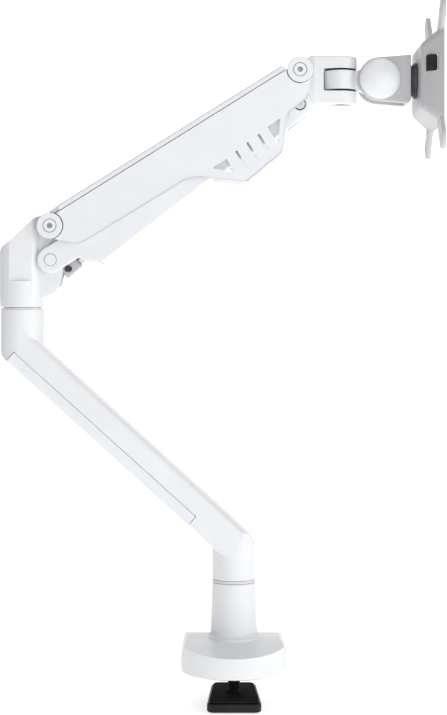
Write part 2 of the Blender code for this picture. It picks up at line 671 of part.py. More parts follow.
def gas_strut():
    front, rear = 28.0, 142.0
    body = turned(
        "gas_cylinder",
        [(0, rear), (CYLINDER - 1.5, rear), (CYLINDER, rear - 1.5), (CYLINDER, front + 1.5), (CYLINDER - 1.5, front),
         (3.6, front), (3.6, 4), (0, 4)], STRUT, DARK, 28, axis="X",
    )
    join(body, rod("cylinder_eye", 6.2, -4.5, 4.5, (0, 0), STRUT, axis="Y", sides=24))
    cut(
        body,
        rod("cylinder_eye_bore", 3.0 + GAP, -10, 10, (0, 0), STRUT, axis="Y", sides=SMALL_ROUND),
        rod("cylinder_bore", STRUT_ROD + GAP, 78, rear + 5, (0, 0), STRUT, axis="X", sides=24),
    )
    rod("gas_rod", STRUT_ROD, 120, STRUT_LENGTH - 10 - GAP, (0, 0), STRUT, STEEL, "X", 20)
    fork = block("rod_end", (STRUT_LENGTH - 10, -5.5, -5.5), (STRUT_LENGTH + 5.5, 5.5, 5.5), STRUT, GREY, 1.0)
    cut(fork, rod("rod_end_bore", 2.5 + GAP, -10, 10, (STRUT_LENGTH, 0), STRUT, axis="Y", sides=16))
    rod("rod_end_pin", 2.5, -7.2, 7.2, (STRUT_LENGTH, 0), STRUT, DARK, "Y", 16)


# Head ------------------------------------------------------------------------------------

LIP_TOP, LIP_LOW = 491.3, 453.0
SLOT_TOP, SLOT_LOW = 481.5, 463.3


def knuckle():
    x, z = PAN_X - FRONT_X, -FRONT_Z
    plan = [(p + x, q) for p, q in arc((0, 0), BARREL, -90, 90, 16)] + [(8, BARREL), (8, -BARREL)]
    casting = slab("knuckle", plan, LIP_LOW + z, LIP_TOP + z, KNUCKLE, WHITE, axis="Z", bevel=1.0)
    ears = (
        arc((0, 0), 9.4, 80, 180, 8) + arc((0, -PIVOT_DROP), 9.4, 180, 290, 8)
        + [(12.5, LIP_LOW + z + 0.5), (12.5, LIP_TOP + z - 0.5)]
    )
    join(casting, slab("knuckle_ears", ears, -EAR_HALF, EAR_HALF, KNUCKLE))
    slot = [(71.6 - FRONT_X, SLOT_LOW + z), (200, SLOT_LOW + z), (200, SLOT_TOP + z), (71.6 - FRONT_X, SLOT_TOP + z)]
    cut(
        casting,
        slab("knuckle_slot", slot, -40, 40, KNUCKLE),
        rod("knuckle_bore", 4.3, -60, 60, (x, 0), KNUCKLE, sides=SMALL_ROUND),
        rod("knuckle_head_way", 7.6, 486 + z, 500 + z, (x, 0), KNUCKLE, sides=24),
        rod("knuckle_nut_way", 7.9, 440 + z, 459 + z, (x, 0), KNUCKLE, sides=24),
        rod("knuckle_upper_bore", PIN + GAP, -40, 40, (0, 0), KNUCKLE, axis="Y", sides=SMALL_ROUND),
        rod("knuckle_lower_bore", PIN + GAP, -40, 40, (0, -PIVOT_DROP), KNUCKLE, axis="Y", sides=SMALL_ROUND),
    )
    pin = rod("front_lower_pin", PIN, -17.3, 17.3, (0, -PIVOT_DROP), KNUCKLE, STEEL, "Y", 20)
    for side in (-1, 1):
        low, high = sorted((side * 16.3, side * 30))
        cut(pin, rod("front_lower_socket", 2.0, low, high, (0, -PIVOT_DROP), KNUCKLE, axis="Y", sides=6))
    bolt = turned(
        "pan_bolt",
        [(0, 490.8 + z), (7, 490.8 + z), (7, 486.3 + z), (PIN, 486.3 + z), (PIN, 454 + z), (0, 454 + z)], KNUCKLE,
        DARK, 24, (x, 0, 0),
    )
    cut(bolt, rod("pan_bolt_socket", 3.2, 488 + z, 500 + z, (x, 0), KNUCKLE, sides=6))
    nut = rod("pan_nut", 7.4, 453.6 + z, 458.6 + z, (x, 0), KNUCKLE, STEEL, sides=6)
    cut(nut, rod("pan_nut_bore", PIN + GAP, 440 + z, 470 + z, (x, 0), KNUCKLE, sides=SMALL_ROUND))
    ring("pan_washer_upper", PIN + GAP, 12.4, SLOT_TOP - 1.3 + z, SLOT_TOP - GAP + z, KNUCKLE, BLACK, at=(x, 0, 0))
    ring("pan_washer_lower", PIN + GAP, 12.4, SLOT_LOW + GAP + z, SLOT_LOW + 1.3 + z, KNUCKLE, BLACK, at=(x, 0, 0))


def pan_yoke():
    low, high = SLOT_LOW + 1.6 - HEAD_Z, SLOT_TOP - 1.6 - HEAD_Z
    reach = TILT_X - PAN_X
    yoke = rod("pan_yoke", YOKE_BARREL, low, high, (0, 0), PAN, WHITE, sides=32)
    tongue = [(4, low + 0.5), (12, low + 0.5), (18, -9.5), (26, -12.6)] + arc((reach, 0), 13.2, -100, 100, 12) + [
        (26, 12.6), (18, 9.5), (12, high - 0.5), (4, high - 0.5)]
    neck = slab("yoke_neck", tongue, -8.7, 8.7, PAN, bevel=1.0)
    join(yoke, neck)
    cut(
        yoke,
        rod("yoke_pan_bore", PIN + GAP, -30, 30, (0, 0), PAN, sides=SMALL_ROUND),
        rod("yoke_tilt_bore", PIN + GAP, -30, 30, (reach, 0), PAN, axis="Y", sides=SMALL_ROUND),
    )


def tilt_joint():
    front = BRACKET_FRONT - TILT_X
    outline = [(front, 19.2), (0, 17.3)] + arc((0, 0), 17.3, 92, 268, 18) + [(front - 2.1, -19.2), (front, -17)]
    bracket = slab("tilt_bracket", outline, -15.7, 15.7, TILT, GREY, bevel=0.8)
    inside = arc((0, 0), 19.0, 90, 270, 16) + [(front - 4.2, -30), (front - 4.2, 30)]
    cut(
        bracket,
        slab("bracket_inside", inside, -9.0, 9.0, TILT),
        rod("bracket_tilt_bore", PIN + GAP, -40, 40, (0, 0), TILT, axis="Y", sides=SMALL_ROUND),
        rod("bracket_hub_bore", PIN + GAP, 10, 40, (0, 0), TILT, axis="X", sides=SMALL_ROUND),
    )
    dome = [((DOME - 1.8) * sin(radians(a)) + 1.8, 16.6 + 5.6 * cos(radians(a))) for a in (20, 40, 60, 80)]
    profile = [(0, 22.3), *dome, (DOME, 16.6), (DOME, 16.0), (0, 16.0)]
    for side, name in ((-1, "tilt_cap_near"), (1, "tilt_cap_far")):
        cap = turned(name, profile, TILT, SHELL, 28, axis="Y")
        if side > 0:
            cap.rotation_euler = (0.0, 0.0, pi)
        cut(cap, rod(name + "_seat", 7.8, *sorted((side * 10, side * 19.4)), (0, 0), TILT, axis="Y", sides=24))
    bolt = turned(
        "tilt_bolt", [(0, 19.1), (6.8, 19.1), (6.8, 16.0), (PIN, 16.0), (PIN, -18.6), (0, -18.6)], TILT, DARK, 24,
        axis="Y",
    )
    cut(bolt, rod("tilt_bolt_socket", 3.0, -30, -17.4, (0, 0), TILT, axis="Y", sides=6))
    nut = rod("tilt_nut", 7.2, 16.0, 19.0, (0, 0), TILT, STEEL, "Y", 6)
    cut(nut, rod("tilt_nut_bore", PIN + GAP, 10, 30, (0, 0), TILT, axis="Y", sides=SMALL_ROUND))


def rotation_joint():
    x = -TILT_X
    ring_profile = [(14.3, 146.6 + x), (14.3, 145.6 + x), (10.9, 141.7 + x), (PIN + GAP, 141.7 + x),
                    (PIN + GAP, 146.6 + x)]
    turned("rotation_ring", ring_profile, TILT, BLACK, 24, axis="X")
    bolt = turned(
        "rotation_bolt",
        [(0, 157 + x), (7, 157 + x), (7, 152 + x), (PIN, 152 + x), (PIN, 131.6 + x), (0, 131.6 + x)], TILT, DARK, 24,
        axis="X",
    )
    cut(bolt, rod("rotation_bolt_socket", 3.0, 154.5 + x, 170 + x, (0, 0), TILT, axis="X", sides=6))
    ring_washer = [(11, 151.7 + x), (11, 150.1 + x), (PIN + GAP, 150.1 + x), (PIN + GAP, 151.7 + x)]
    turned("rotation_washer", ring_washer, TILT, STEEL, 28, axis="X")
    nut = rod("rotation_nut", 7.0, 132.4 + x, 136.8 + x, (0, 0), TILT, STEEL, "X", 6)
    cut(nut, rod("rotation_nut_bore", PIN + GAP, 120 + x, 140 + x, (0, 0), TILT, axis="X", sides=SMALL_ROUND))


def screen_plate():
    wall = 2.6
    back, front = (35.0, 25.5), (50.0, 38.5)
    taper = (back[0] / front[0], back[1] / front[1])
    rim = rounded([(-50, -38.5, 7), (50, -38.5, 7), (50, 38.5, 7), (-50, 38.5, 7)], 4)
    plate = slab("screen_plate", rim, PLATE_BACK, PLATE_FRONT - 0.4, HEAD, GREY, axis="X", taper=taper)
    y, z = front[0] - wall - 0.6, front[1] - wall - 0.6
    inner_rim = rounded([(-y, -z, 5), (y, -z, 5), (y, z, 5), (-y, z, 5)], 4)
    hollow = slab("plate_hollow", inner_rim, PLATE_BACK + wall, PLATE_FRONT + 2, HEAD, axis="X", taper=taper)
    cut(plate, hollow)
    diagonal = capsule(10 * 2 ** 0.5, 9.0, 8)
    for sy in (-1, 1):
        for sz in (-1, 1):
            angle = pi / 4 * (-1 if sy * sz > 0 else 1)
            turned_outline = [
                (sy * 40 + p * cos(angle) - q * sin(angle), sz * 40 + p * sin(angle) + q * cos(angle))
                for p, q in diagonal
            ]
            join(plate, slab("prong", turned_outline, PLATE_FRONT - 3.4, PLATE_FRONT, HEAD, axis="X"))
            for hole in (37.5, 50.0):
                cut(plate, rod("screen_hole", 2.4, 150, 170, (sy * hole, sz * hole), HEAD, axis="X", sides=16))
    low, high = (LATCH_X - 4.5, -60, LATCH_Z - 6.5), (LATCH_X + 4.5, -30, LATCH_Z + 6.5)
    cut(
        plate,
        rod("plate_bore", PIN + GAP, 140, 155, (0, 0), HEAD, axis="X", sides=SMALL_ROUND),
        block("latch_way", low, high, HEAD),
    )
    join(plate, block("latch_seat", (PLATE_BACK + 1, -22, LATCH_Z - 6), (LATCH_X + 4, -19, LATCH_Z + 6), HEAD))


def latch():
    button = block("latch_button", (-4.1, -43.4, -6.1), (4.1, -31, 6.1), LATCH, BLACK, 0.8)
    cut(button, rod("button_bore", 3.4, -40, -25, (0, 0), LATCH, axis="Y", sides=SMALL_ROUND))
    turns, steps, coil, wire = 4, 8, 2.4, 0.4
    low, high = -35.6, -22.3 - wire - GAP
    curve = bpy.data.curves.new("latch_spring", "CURVE")
    curve.dimensions = "3D"
    curve.bevel_depth = wire * MM
    curve.bevel_resolution = 1
    curve.use_fill_caps = True
    spline = curve.splines.new("POLY")
    spline.points.add(turns * steps)
    for i, point in enumerate(spline.points):
        angle = 2 * pi * i / steps
        y = low + (high - low) * i / (turns * steps)
        point.co = (coil * cos(angle) * MM, y * MM, coil * sin(angle) * MM, 1.0)
    curve.materials.append(STEEL)
    spring = bpy.data.objects.new("latch_spring", curve)
    PARTS.objects.link(spring)
    spring.parent = LATCH


base_casting()
base_inside()
clamp()
lower_arm()
cable_cover()
elbow()
tension_adjuster()
upper_arm()
lower_link()
gas_strut()
knuckle()
pan_yoke()
tilt_joint()
rotation_joint()
screen_plate()
latch()
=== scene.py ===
"""A gas-spring monitor arm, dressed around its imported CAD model.

A base and its clamp plate hold a desk top between them. A bent lower arm swivels on the base, an elbow
swivels on the arm's end, and a covered upper arm with a link under it carries a panning, tilting and
turning head with a four-pronged screen plate. Sizes are in millimetres. Z = 0 is the desk's top, the
base's swivel axis is X = Y = 0, +X runs towards the screen and the arm's near side faces -Y.
"""

import logging
from dataclasses import dataclass
from enum import Enum
from math import atan2, cos, degrees, hypot, pi, radians, sin, tan

import bmesh
import bpy
from mathutils import Matrix, Vector


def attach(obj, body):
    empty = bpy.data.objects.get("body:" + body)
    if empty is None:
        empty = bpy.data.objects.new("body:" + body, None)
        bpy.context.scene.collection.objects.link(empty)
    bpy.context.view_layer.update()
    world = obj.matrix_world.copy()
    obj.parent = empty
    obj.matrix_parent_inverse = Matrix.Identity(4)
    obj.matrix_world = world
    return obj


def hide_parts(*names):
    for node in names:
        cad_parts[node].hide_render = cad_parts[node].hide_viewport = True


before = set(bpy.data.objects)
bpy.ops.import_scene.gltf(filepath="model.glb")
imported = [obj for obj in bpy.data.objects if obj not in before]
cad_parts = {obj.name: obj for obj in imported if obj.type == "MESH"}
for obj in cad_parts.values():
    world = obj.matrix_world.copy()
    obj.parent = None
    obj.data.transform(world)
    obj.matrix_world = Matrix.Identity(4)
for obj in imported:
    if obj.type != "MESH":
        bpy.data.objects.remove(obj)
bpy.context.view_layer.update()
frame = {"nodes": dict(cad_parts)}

LOG = logging.getLogger("monitor_arm")
MM = 0.001
SHARP = radians(34)  # an edge that turns more than this is shaded sharp and gets its small radius
MERGE = 1e-3  # vertices closer than this are one
LEVEL = 1e-5  # an edge whose ends differ less than this in height is level

Outline = list[tuple[float, float]]
Colour = tuple[float, float, float]
Point = tuple[float, float, float]


class Axis(Enum):
    """The direction in which a shape has its thickness or its turning axis."""

    X = "X"
    Y = "Y"
    Z = "Z"

    def slab_turn(self) -> Matrix:
        """Return the turn that lays an outline drawn in X and Y across this axis."""
        across = Matrix.Rotation(pi / 2, 4, "X")
        if self is Axis.X:
            return Matrix.Rotation(pi / 2, 4, "Z") @ across
        return across if self is Axis.Y else Matrix()

    def lathe_turn(self) -> Matrix:
        """Return the turn that lays a shape turned about Z along this axis; on Y it then points to -Y."""
        if self is Axis.X:
            return Matrix.Rotation(pi / 2, 4, "Y")
        return Matrix.Rotation(pi / 2, 4, "X") if self is Axis.Y else Matrix()

    def point(self, along: float, across: tuple[float, float]) -> Vector:
        """Return the point this far along the axis and at this place across it."""
        places = {
            Axis.X: (along, across[0], across[1]),
            Axis.Y: (across[0], along, across[1]),
            Axis.Z: (across[0], across[1], along),
        }
        return Vector(places[self])


class Operation(Enum):
    """What a second solid does to the first."""

    CUT = "DIFFERENCE"
    JOIN = "UNION"
    TRIM = "INTERSECT"


class Slot(Enum):
    """The record's material slots."""

    WHITE_COAT = "white_coat"
    WHITE_PLASTIC = "white_plastic"
    GREY_CASTING = "grey_casting"
    BLACK_PLASTIC = "black_plastic"
    RUBBER = "rubber"
    ZINC_STEEL = "zinc_steel"
    DARK_STEEL = "dark_steel"
    ACETAL = "acetal"


# Outlines ----------------------------------------------------------------------------------


def arc(centre: tuple[float, float], radius: float, start: float, end: float, steps: int) -> Outline:
    """Draw part of a circle.

    Args:
        centre: The circle's centre.
        radius: Its radius.
        start: The first angle, in degrees.
        end: The last angle, in degrees.
        steps: The number of chords.

    Returns:
        The points from the first angle to the last.
    """
    angles = [radians(start + (end - start) * i / steps) for i in range(steps + 1)]
    return [(centre[0] + radius * cos(a), centre[1] + radius * sin(a)) for a in angles]


def rounded(corners: list[tuple], steps: int = 10) -> Outline:
    """Round the corners of an outline.

    Args:
        corners: The corners as (x, y) where sharp and (x, y, radius) where rounded.
        steps: The number of chords in each rounded corner.

    Returns:
        The outline's points in the same order.
    """
    found: Outline = []
    for i, corner in enumerate(corners):
        here = Vector(corner[:2])
        if len(corner) < 3:
            found.append(tuple(here))
            continue
        before = (Vector(corners[i - 1][:2]) - here).normalized()
        after = (Vector(corners[(i + 1) % len(corners)][:2]) - here).normalized()
        half = before.angle(after) / 2
        start = here + before * corner[2] / tan(half)
        end = here + after * corner[2] / tan(half)
        centre = here + (before + after).normalized() * corner[2] / sin(half)
        first = atan2(start.y - centre.y, start.x - centre.x)
        sweep = (atan2(end.y - centre.y, end.x - centre.x) - first + pi) % (2 * pi) - pi
        found += arc(tuple(centre), corner[2], degrees(first), degrees(first + sweep), steps)
    return found


def capsule(half_length: float, radius: float, steps: int = 32) -> Outline:
    """Return a stadium about the origin that is long in Y, with each end in this many chords."""
    return arc((0, half_length), radius, 0, 180, steps) + arc((0, -half_length), radius, 180, 360, steps)


# Solids ------------------------------------------------------------------------------------


class Solid:
    """A closed body in the making, in millimetres, in its sub-assembly's own frame."""

    def __init__(self) -> None:
        """Start with an empty mesh."""
        self.mesh = bmesh.new()

    @classmethod
    def slab(
        cls,
        outline: Outline,
        low: float,
        high: float,
        axis: Axis = Axis.Y,
        rim: float = 0.0,
        steps: int = 4,
        taper: tuple[float, float] | None = None,
    ) -> "Solid":
        """Give an outline thickness.

        Args:
            outline: Its points: in X and Z for axis Y, in X and Y for axis Z, in Y and Z for axis X.
            low: Where it starts along the axis.
            high: Where it ends along the axis.
            axis: The direction of the thickness.
            rim: The radius of its long edges.
            steps: The number of chords in that radius.
            taper: How much the low face is scaled in the outline's two directions.

        Returns:
            The solid.
        """
        made = cls()
        half = (high - low) / 2
        corners = [made.mesh.verts.new((x, y, -half)) for x, y in outline]
        face = made.mesh.faces.new(corners)
        grown = bmesh.ops.extrude_face_region(made.mesh, geom=[face])["geom"]
        top = [v for v in grown if isinstance(v, bmesh.types.BMVert)]
        bmesh.ops.translate(made.mesh, verts=top, vec=(0, 0, 2 * half))
        if taper:
            low_verts = [v for v in made.mesh.verts if v.co.z < 0]
            bmesh.ops.scale(made.mesh, verts=low_verts, vec=(taper[0], taper[1], 1))
        if rim:
            made.bevel(made._level_edges(), rim, steps)
        return made._settled(Matrix.Translation(axis.point((low + high) / 2, (0, 0))) @ axis.slab_turn())

    @classmethod
    def lathe(cls, profile: Outline, axis: Axis = Axis.Z, at: Point = (0, 0, 0), sides: int = 96) -> "Solid":
        """Turn a profile of (radius, height) about an axis; one that leaves the axis is closed into a ring.

        Args:
            profile: The points, from the top down.
            axis: The axis that the height runs along.
            at: Where the axis starts.
            sides: The number of steps round.

        Returns:
            The solid.
        """
        made = cls()
        line = [made.mesh.verts.new((radius, 0, height)) for radius, height in profile]
        edges = [made.mesh.edges.new(pair) for pair in zip(line, line[1:])]
        if min(profile[0][0], profile[-1][0]) > 0:
            edges.append(made.mesh.edges.new((line[-1], line[0])))
        bmesh.ops.spin(
            made.mesh, geom=line + edges, cent=(0, 0, 0), axis=(0, 0, 1), angle=2 * pi, steps=sides,
            use_merge=True,
        )
        bmesh.ops.remove_doubles(made.mesh, verts=made.mesh.verts, dist=MERGE)
        return made._settled(Matrix.Translation(at) @ axis.lathe_turn())

    @classmethod
    def loft(cls, outline: Outline, sections: list[tuple[float, float, float]], axis: Axis) -> "Solid":
        """Carry an outline along an axis through scaled sections.

        Args:
            outline: Its points, as for a slab.
            sections: The place along the axis and the two scales of each section, from the lowest up.
            axis: The axis.

        Returns:
            The solid.
        """
        made = cls()
        face = made.mesh.faces.new([made.mesh.verts.new((x, y, 0)) for x, y in outline])
        before = (0.0, 1.0, 1.0)
        for i, now in enumerate(sections):
            if i:
                grown = bmesh.ops.extrude_face_region(made.mesh, geom=[face])["geom"]
                if i > 1:
                    bmesh.ops.delete(made.mesh, geom=[face], context="FACES_ONLY")
                face = next(f for f in grown if isinstance(f, bmesh.types.BMFace))
            bmesh.ops.translate(made.mesh, verts=face.verts, vec=(0, 0, now[0] - before[0]))
            bmesh.ops.scale(made.mesh, verts=face.verts, vec=(now[1] / before[1], now[2] / before[2], 1))
            before = now
        return made._settled(axis.slab_turn())

    @classmethod
    def rod(
        cls,
        radius: float,
        low: float,
        high: float,
        at: tuple[float, float] = (0, 0),
        axis: Axis = Axis.Z,
        sides: int = 72,
        rim: float = 0.0,
    ) -> "Solid":
        """Make a straight rod, or a polygonal one with few sides.

        Args:
            radius: Its radius.
            low: Where it starts along the axis.
            high: Where it ends along the axis.
            at: Its place across the axis.
            axis: The direction of its length.
            sides: The number of sides.
            rim: The radius of its two end edges.

        Returns:
            The solid.
        """
        made = cls()
        bmesh.ops.create_cone(
            made.mesh, cap_ends=True, segments=sides, radius1=radius, radius2=radius, depth=high - low
        )
        if rim:
            made.bevel(made._level_edges(), rim, 3)
        return made.turned(Matrix.Translation(axis.point((low + high) / 2, at)) @ axis.slab_turn())

    @classmethod
    def block(cls, low: Point, high: Point, rim: float = 0.0, steps: int = 3) -> "Solid":
        """Make a box between two corners, with all its edges rounded by rim in this many chords."""
        made = cls()
        bmesh.ops.create_cube(made.mesh, size=1.0)
        bmesh.ops.scale(made.mesh, vec=Vector(high) - Vector(low), verts=made.mesh.verts)
        bmesh.ops.translate(made.mesh, vec=(Vector(high) + Vector(low)) / 2, verts=made.mesh.verts)
        if rim:
            made.bevel(made.mesh.edges[:], rim, steps)
        return made

    @classmethod
    def from_node(cls, node: str) -> "Solid":
        """Return a merged copy of a CAD node, its flat faces made whole."""
        made = cls()
        made.mesh.from_mesh(frame["nodes"][node].data)
        bmesh.ops.scale(made.mesh, vec=(1 / MM,) * 3, verts=made.mesh.verts)
        bmesh.ops.remove_doubles(made.mesh, verts=made.mesh.verts, dist=2 * MERGE)
        bmesh.ops.dissolve_limit(
            made.mesh, angle_limit=radians(1), verts=made.mesh.verts, edges=made.mesh.edges
        )
        return made

    def _level_edges(self) -> list[bmesh.types.BMEdge]:
        """Return the edges of a new slab's or rod's two flat faces."""
        return [e for e in self.mesh.edges if abs(e.verts[0].co.z - e.verts[1].co.z) < LEVEL]

    def _settled(self, turn: Matrix) -> "Solid":
        """Point all faces outwards, move this solid by a matrix and return it."""
        bmesh.ops.recalc_face_normals(self.mesh, faces=self.mesh.faces)
        return self.turned(turn)

    def bevel(self, edges: list[bmesh.types.BMEdge], radius: float, steps: int) -> None:
        """Round these edges by a radius in this many chords."""
        bmesh.ops.bevel(
            self.mesh, geom=edges, offset=radius, segments=steps, profile=0.5, affect="EDGES",
            clamp_overlap=True, material=-1,
        )

    def _loose(self) -> bpy.types.Object:
        """Return this solid as a passing object for a Boolean."""
        mesh = bpy.data.meshes.new("passing")
        self.mesh.to_mesh(mesh)
        obj = bpy.data.objects.new("passing", mesh)
        bpy.context.scene.collection.objects.link(obj)
        return obj

    def _combine(self, operation: Operation, tools: tuple["Solid", ...]) -> "Solid":
        """Apply the operation with each tool in turn.

        Args:
            operation: What each tool does.
            tools: The other solids.

        Returns:
            This solid, changed.
        """
        passing = [self._loose()]
        for tool in tools:
            passing.append(tool._loose())
            modifier = passing[0].modifiers.new(operation.name, "BOOLEAN")
            modifier.operation = operation.value
            modifier.solver = "EXACT"
            modifier.object = passing[-1]
        bpy.context.view_layer.update()
        result = bpy.data.meshes.new_from_object(
            passing[0].evaluated_get(bpy.context.evaluated_depsgraph_get())
        )
        self.mesh.clear()
        self.mesh.from_mesh(result)
        bmesh.ops.remove_doubles(self.mesh, verts=self.mesh.verts, dist=MERGE)
        bmesh.ops.dissolve_degenerate(self.mesh, dist=MERGE, edges=self.mesh.edges)
        for obj in passing:
            mesh = obj.data
            bpy.data.objects.remove(obj)
            bpy.data.meshes.remove(mesh)
        bpy.data.meshes.remove(result)
        return self

    def cut(self, *tools: "Solid") -> "Solid":
        """Take the tools out of this solid and return it."""
        return self._combine(Operation.CUT, tools)

    def join(self, *others: "Solid") -> "Solid":
        """Add the others to this solid and return it."""
        return self._combine(Operation.JOIN, others)

    def trim(self, *others: "Solid") -> "Solid":
        """Keep only what lies inside the others too, and return it."""
        return self._combine(Operation.TRIM, others)

    def turned(self, turn: Matrix) -> "Solid":
        """Move this solid by a matrix and return it."""
        self.mesh.transform(turn)
        return self

    def soften(self, low: Vector, high: Vector, radius: float, steps: int = 3) -> "Solid":
        """Round the sharp edges whose middle lies in a box.

        Args:
            low: The box's lowest corner.
            high: Its highest corner.
            radius: The radius of the rounding.
            steps: The number of chords.

        Returns:
            This solid, changed.
        """
        chosen = []
        for edge in self.mesh.edges:
            middle = (edge.verts[0].co + edge.verts[1].co) / 2
            inside = all(a <= m <= b for a, m, b in zip(low, middle, high))
            if inside and edge.is_manifold and edge.calc_face_angle(0.0) > SHARP:
                chosen.append(edge)
        self.bevel(chosen, radius, steps)
        return self

    def piece(self, name: str, place: Matrix, edge: float = 0.25) -> bpy.types.Object:
        """Make the finished object.

        Args:
            name: The piece's name.
            place: Its sub-assembly's frame, in millimetres.
            edge: The small radius on every edge that is still sharp.

        Returns:
            The object, which sits at the origin with its place in its mesh.
        """
        self.mesh.transform(Matrix.Diagonal((MM, MM, MM, 1)) @ place)
        mesh = bpy.data.meshes.new(name)
        self.mesh.to_mesh(mesh)
        self.mesh.free()
        mesh.shade_smooth()
        mesh.set_sharp_from_angle(angle=SHARP)
        obj = bpy.data.objects.new(name, mesh)
        bpy.context.scene.collection.objects.link(obj)
        if edge:
            bevel = obj.modifiers.new("edge", "BEVEL")
            bevel.width = edge * MM
            bevel.segments = 2
            bevel.limit_method = "ANGLE"
            bevel.angle_limit = SHARP
            bevel.use_clamp_overlap = True
        normals = obj.modifiers.new("normals", "WEIGHTED_NORMAL")
        normals.keep_sharp = True
        normals.weight = 50
        return obj


# Finishes ----------------------------------------------------------------------------------


@dataclass(frozen=True)
class Grain:
    """One size of surface relief.

    Fields are the size of its features, their height and how far they are drawn out along X, Y and Z.
    """

    size: float
    height: float
    stretch: Point = (1.0, 1.0, 1.0)


@dataclass(frozen=True)
class Finish:
    """A surface finish with its own colour wander, gloss wander and relief."""

    name: str
    slot: Slot
    colour: Colour
    second_colour: Colour
    gloss: tuple[float, float]
    fine: Grain
    broad: Grain
    patch: float = 22.0
    metallic: float = 0.0
    coat: float = 0.0
    specular: float = 0.5

    def material(self) -> bpy.types.Material:
        """Return this finish's material, made at its first use."""
        found = bpy.data.materials.get(self.name)
        return found or self._build()

    @staticmethod
    def _noise(tree: bpy.types.NodeTree, grain: Grain, detail: float) -> bpy.types.NodeSocket:
        """Add a noise of one grain with this many finer layers and return its value."""
        coordinates = tree.nodes.new("ShaderNodeTexCoord")
        mapping = tree.nodes.new("ShaderNodeMapping")
        mapping.inputs["Scale"].default_value = [1 / (grain.size * MM * s) for s in grain.stretch]
        noise = tree.nodes.new("ShaderNodeTexNoise")
        noise.inputs["Scale"].default_value = 1.0
        noise.inputs["Detail"].default_value = detail
        tree.links.new(coordinates.outputs["Object"], mapping.inputs["Vector"])
        tree.links.new(mapping.outputs["Vector"], noise.inputs["Vector"])
        return noise.outputs["Fac"]

    @staticmethod
    def _spread(
        tree: bpy.types.NodeTree,
        value: bpy.types.NodeSocket,
        limits: tuple[float, float],
        result: tuple[float, float] = (0.0, 1.0),
    ) -> bpy.types.NodeSocket:
        """Spread the middle values of a noise over a range.

        Args:
            tree: The material's node tree.
            value: The noise's value.
            limits: The values that become the ends of the range.
            result: The range.

        Returns:
            The spread value.
        """
        spread = tree.nodes.new("ShaderNodeMapRange")
        for name, number in zip(("From Min", "From Max", "To Min", "To Max"), limits + result):
            spread.inputs[name].default_value = number
        tree.links.new(value, spread.inputs["Value"])
        return spread.outputs["Result"]

    @staticmethod
    def _relief(tree: bpy.types.NodeTree, value: bpy.types.NodeSocket, height: float) -> bpy.types.Node:
        """Add a relief of this height, in millimetres, from a noise's value and return its node."""
        relief = tree.nodes.new("ShaderNodeBump")
        relief.inputs["Strength"].default_value = 1.0
        relief.inputs["Distance"].default_value = height * MM
        tree.links.new(value, relief.inputs["Height"])
        return relief

    def _build(self) -> bpy.types.Material:
        """Build the node graph: two reliefs, a wandering colour and a wandering gloss."""
        material = bpy.data.materials.new(self.name)
        material.use_nodes = True
        tree = material.node_tree
        shader = tree.nodes["Principled BSDF"]
        for name, value in (
            ("Metallic", self.metallic),
            ("Coat Weight", self.coat),
            ("Coat Roughness", 0.18),
            ("Specular IOR Level", self.specular),
        ):
            shader.inputs[name].default_value = value
        patches = self._noise(tree, Grain(self.patch, 0), 3.0)
        blend = tree.nodes.new("ShaderNodeMix")
        blend.data_type = "RGBA"
        blend.inputs["A"].default_value = (*self.colour, 1)
        blend.inputs["B"].default_value = (*self.second_colour, 1)
        tree.links.new(self._spread(tree, patches, (0.3, 0.7)), blend.inputs["Factor"])
        tree.links.new(blend.outputs["Result"], shader.inputs["Base Color"])
        fine = self._noise(tree, self.fine, 2.0)
        tree.links.new(self._spread(tree, fine, (0.25, 0.75), self.gloss), shader.inputs["Roughness"])
        broad_relief = self._relief(tree, self._noise(tree, self.broad, 1.0), self.broad.height)
        fine_relief = self._relief(tree, fine, self.fine.height)
        tree.links.new(broad_relief.outputs["Normal"], fine_relief.inputs["Normal"])
        tree.links.new(fine_relief.outputs["Normal"], shader.inputs["Normal"])
        return material


POWDER_COAT = Finish(
    "powder_coat", Slot.WHITE_COAT, (0.83, 0.845, 0.86), (0.80, 0.815, 0.835), (0.34, 0.44),
    Grain(0.35, 0.006), Grain(1.6, 0.02), coat=0.12,
)
MOULDED_WHITE = Finish(
    "moulded_white", Slot.WHITE_PLASTIC, (0.82, 0.84, 0.865), (0.795, 0.815, 0.845), (0.42, 0.54),
    Grain(0.22, 0.006), Grain(0.7, 0.006),
)
GLOSS_WHITE = Finish(
    "gloss_white", Slot.WHITE_PLASTIC, (0.83, 0.845, 0.86), (0.815, 0.83, 0.85), (0.16, 0.22),
    Grain(0.4, 0.001), Grain(3.0, 0.004), coat=0.5,
)
CAST_GREY = Finish(
    "cast_grey", Slot.GREY_CASTING, (0.56, 0.565, 0.58), (0.52, 0.525, 0.54), (0.36, 0.48),
    Grain(0.4, 0.008), Grain(1.8, 0.025), coat=0.08,
)
FRAME_GREY = Finish(
    "frame_grey", Slot.GREY_CASTING, (0.2, 0.203, 0.21), (0.17, 0.173, 0.18), (0.42, 0.54),
    Grain(0.4, 0.008), Grain(1.8, 0.025),
)
RING_GREY = Finish(
    "ring_grey", Slot.BLACK_PLASTIC, (0.13, 0.131, 0.135), (0.1, 0.101, 0.104), (0.4, 0.5),
    Grain(0.25, 0.006), Grain(0.9, 0.008),
)
BLACK_MOULDED = Finish(
    "black_moulded", Slot.BLACK_PLASTIC, (0.012, 0.012, 0.013), (0.02, 0.02, 0.021), (0.32, 0.46),
    Grain(0.25, 0.006), Grain(0.9, 0.008), specular=0.2,
)
BLACK_RUBBER = Finish(
    "black_rubber", Slot.RUBBER, (0.022, 0.022, 0.022), (0.032, 0.032, 0.031), (0.74, 0.9),
    Grain(0.3, 0.02), Grain(1.4, 0.03), specular=0.05,
)
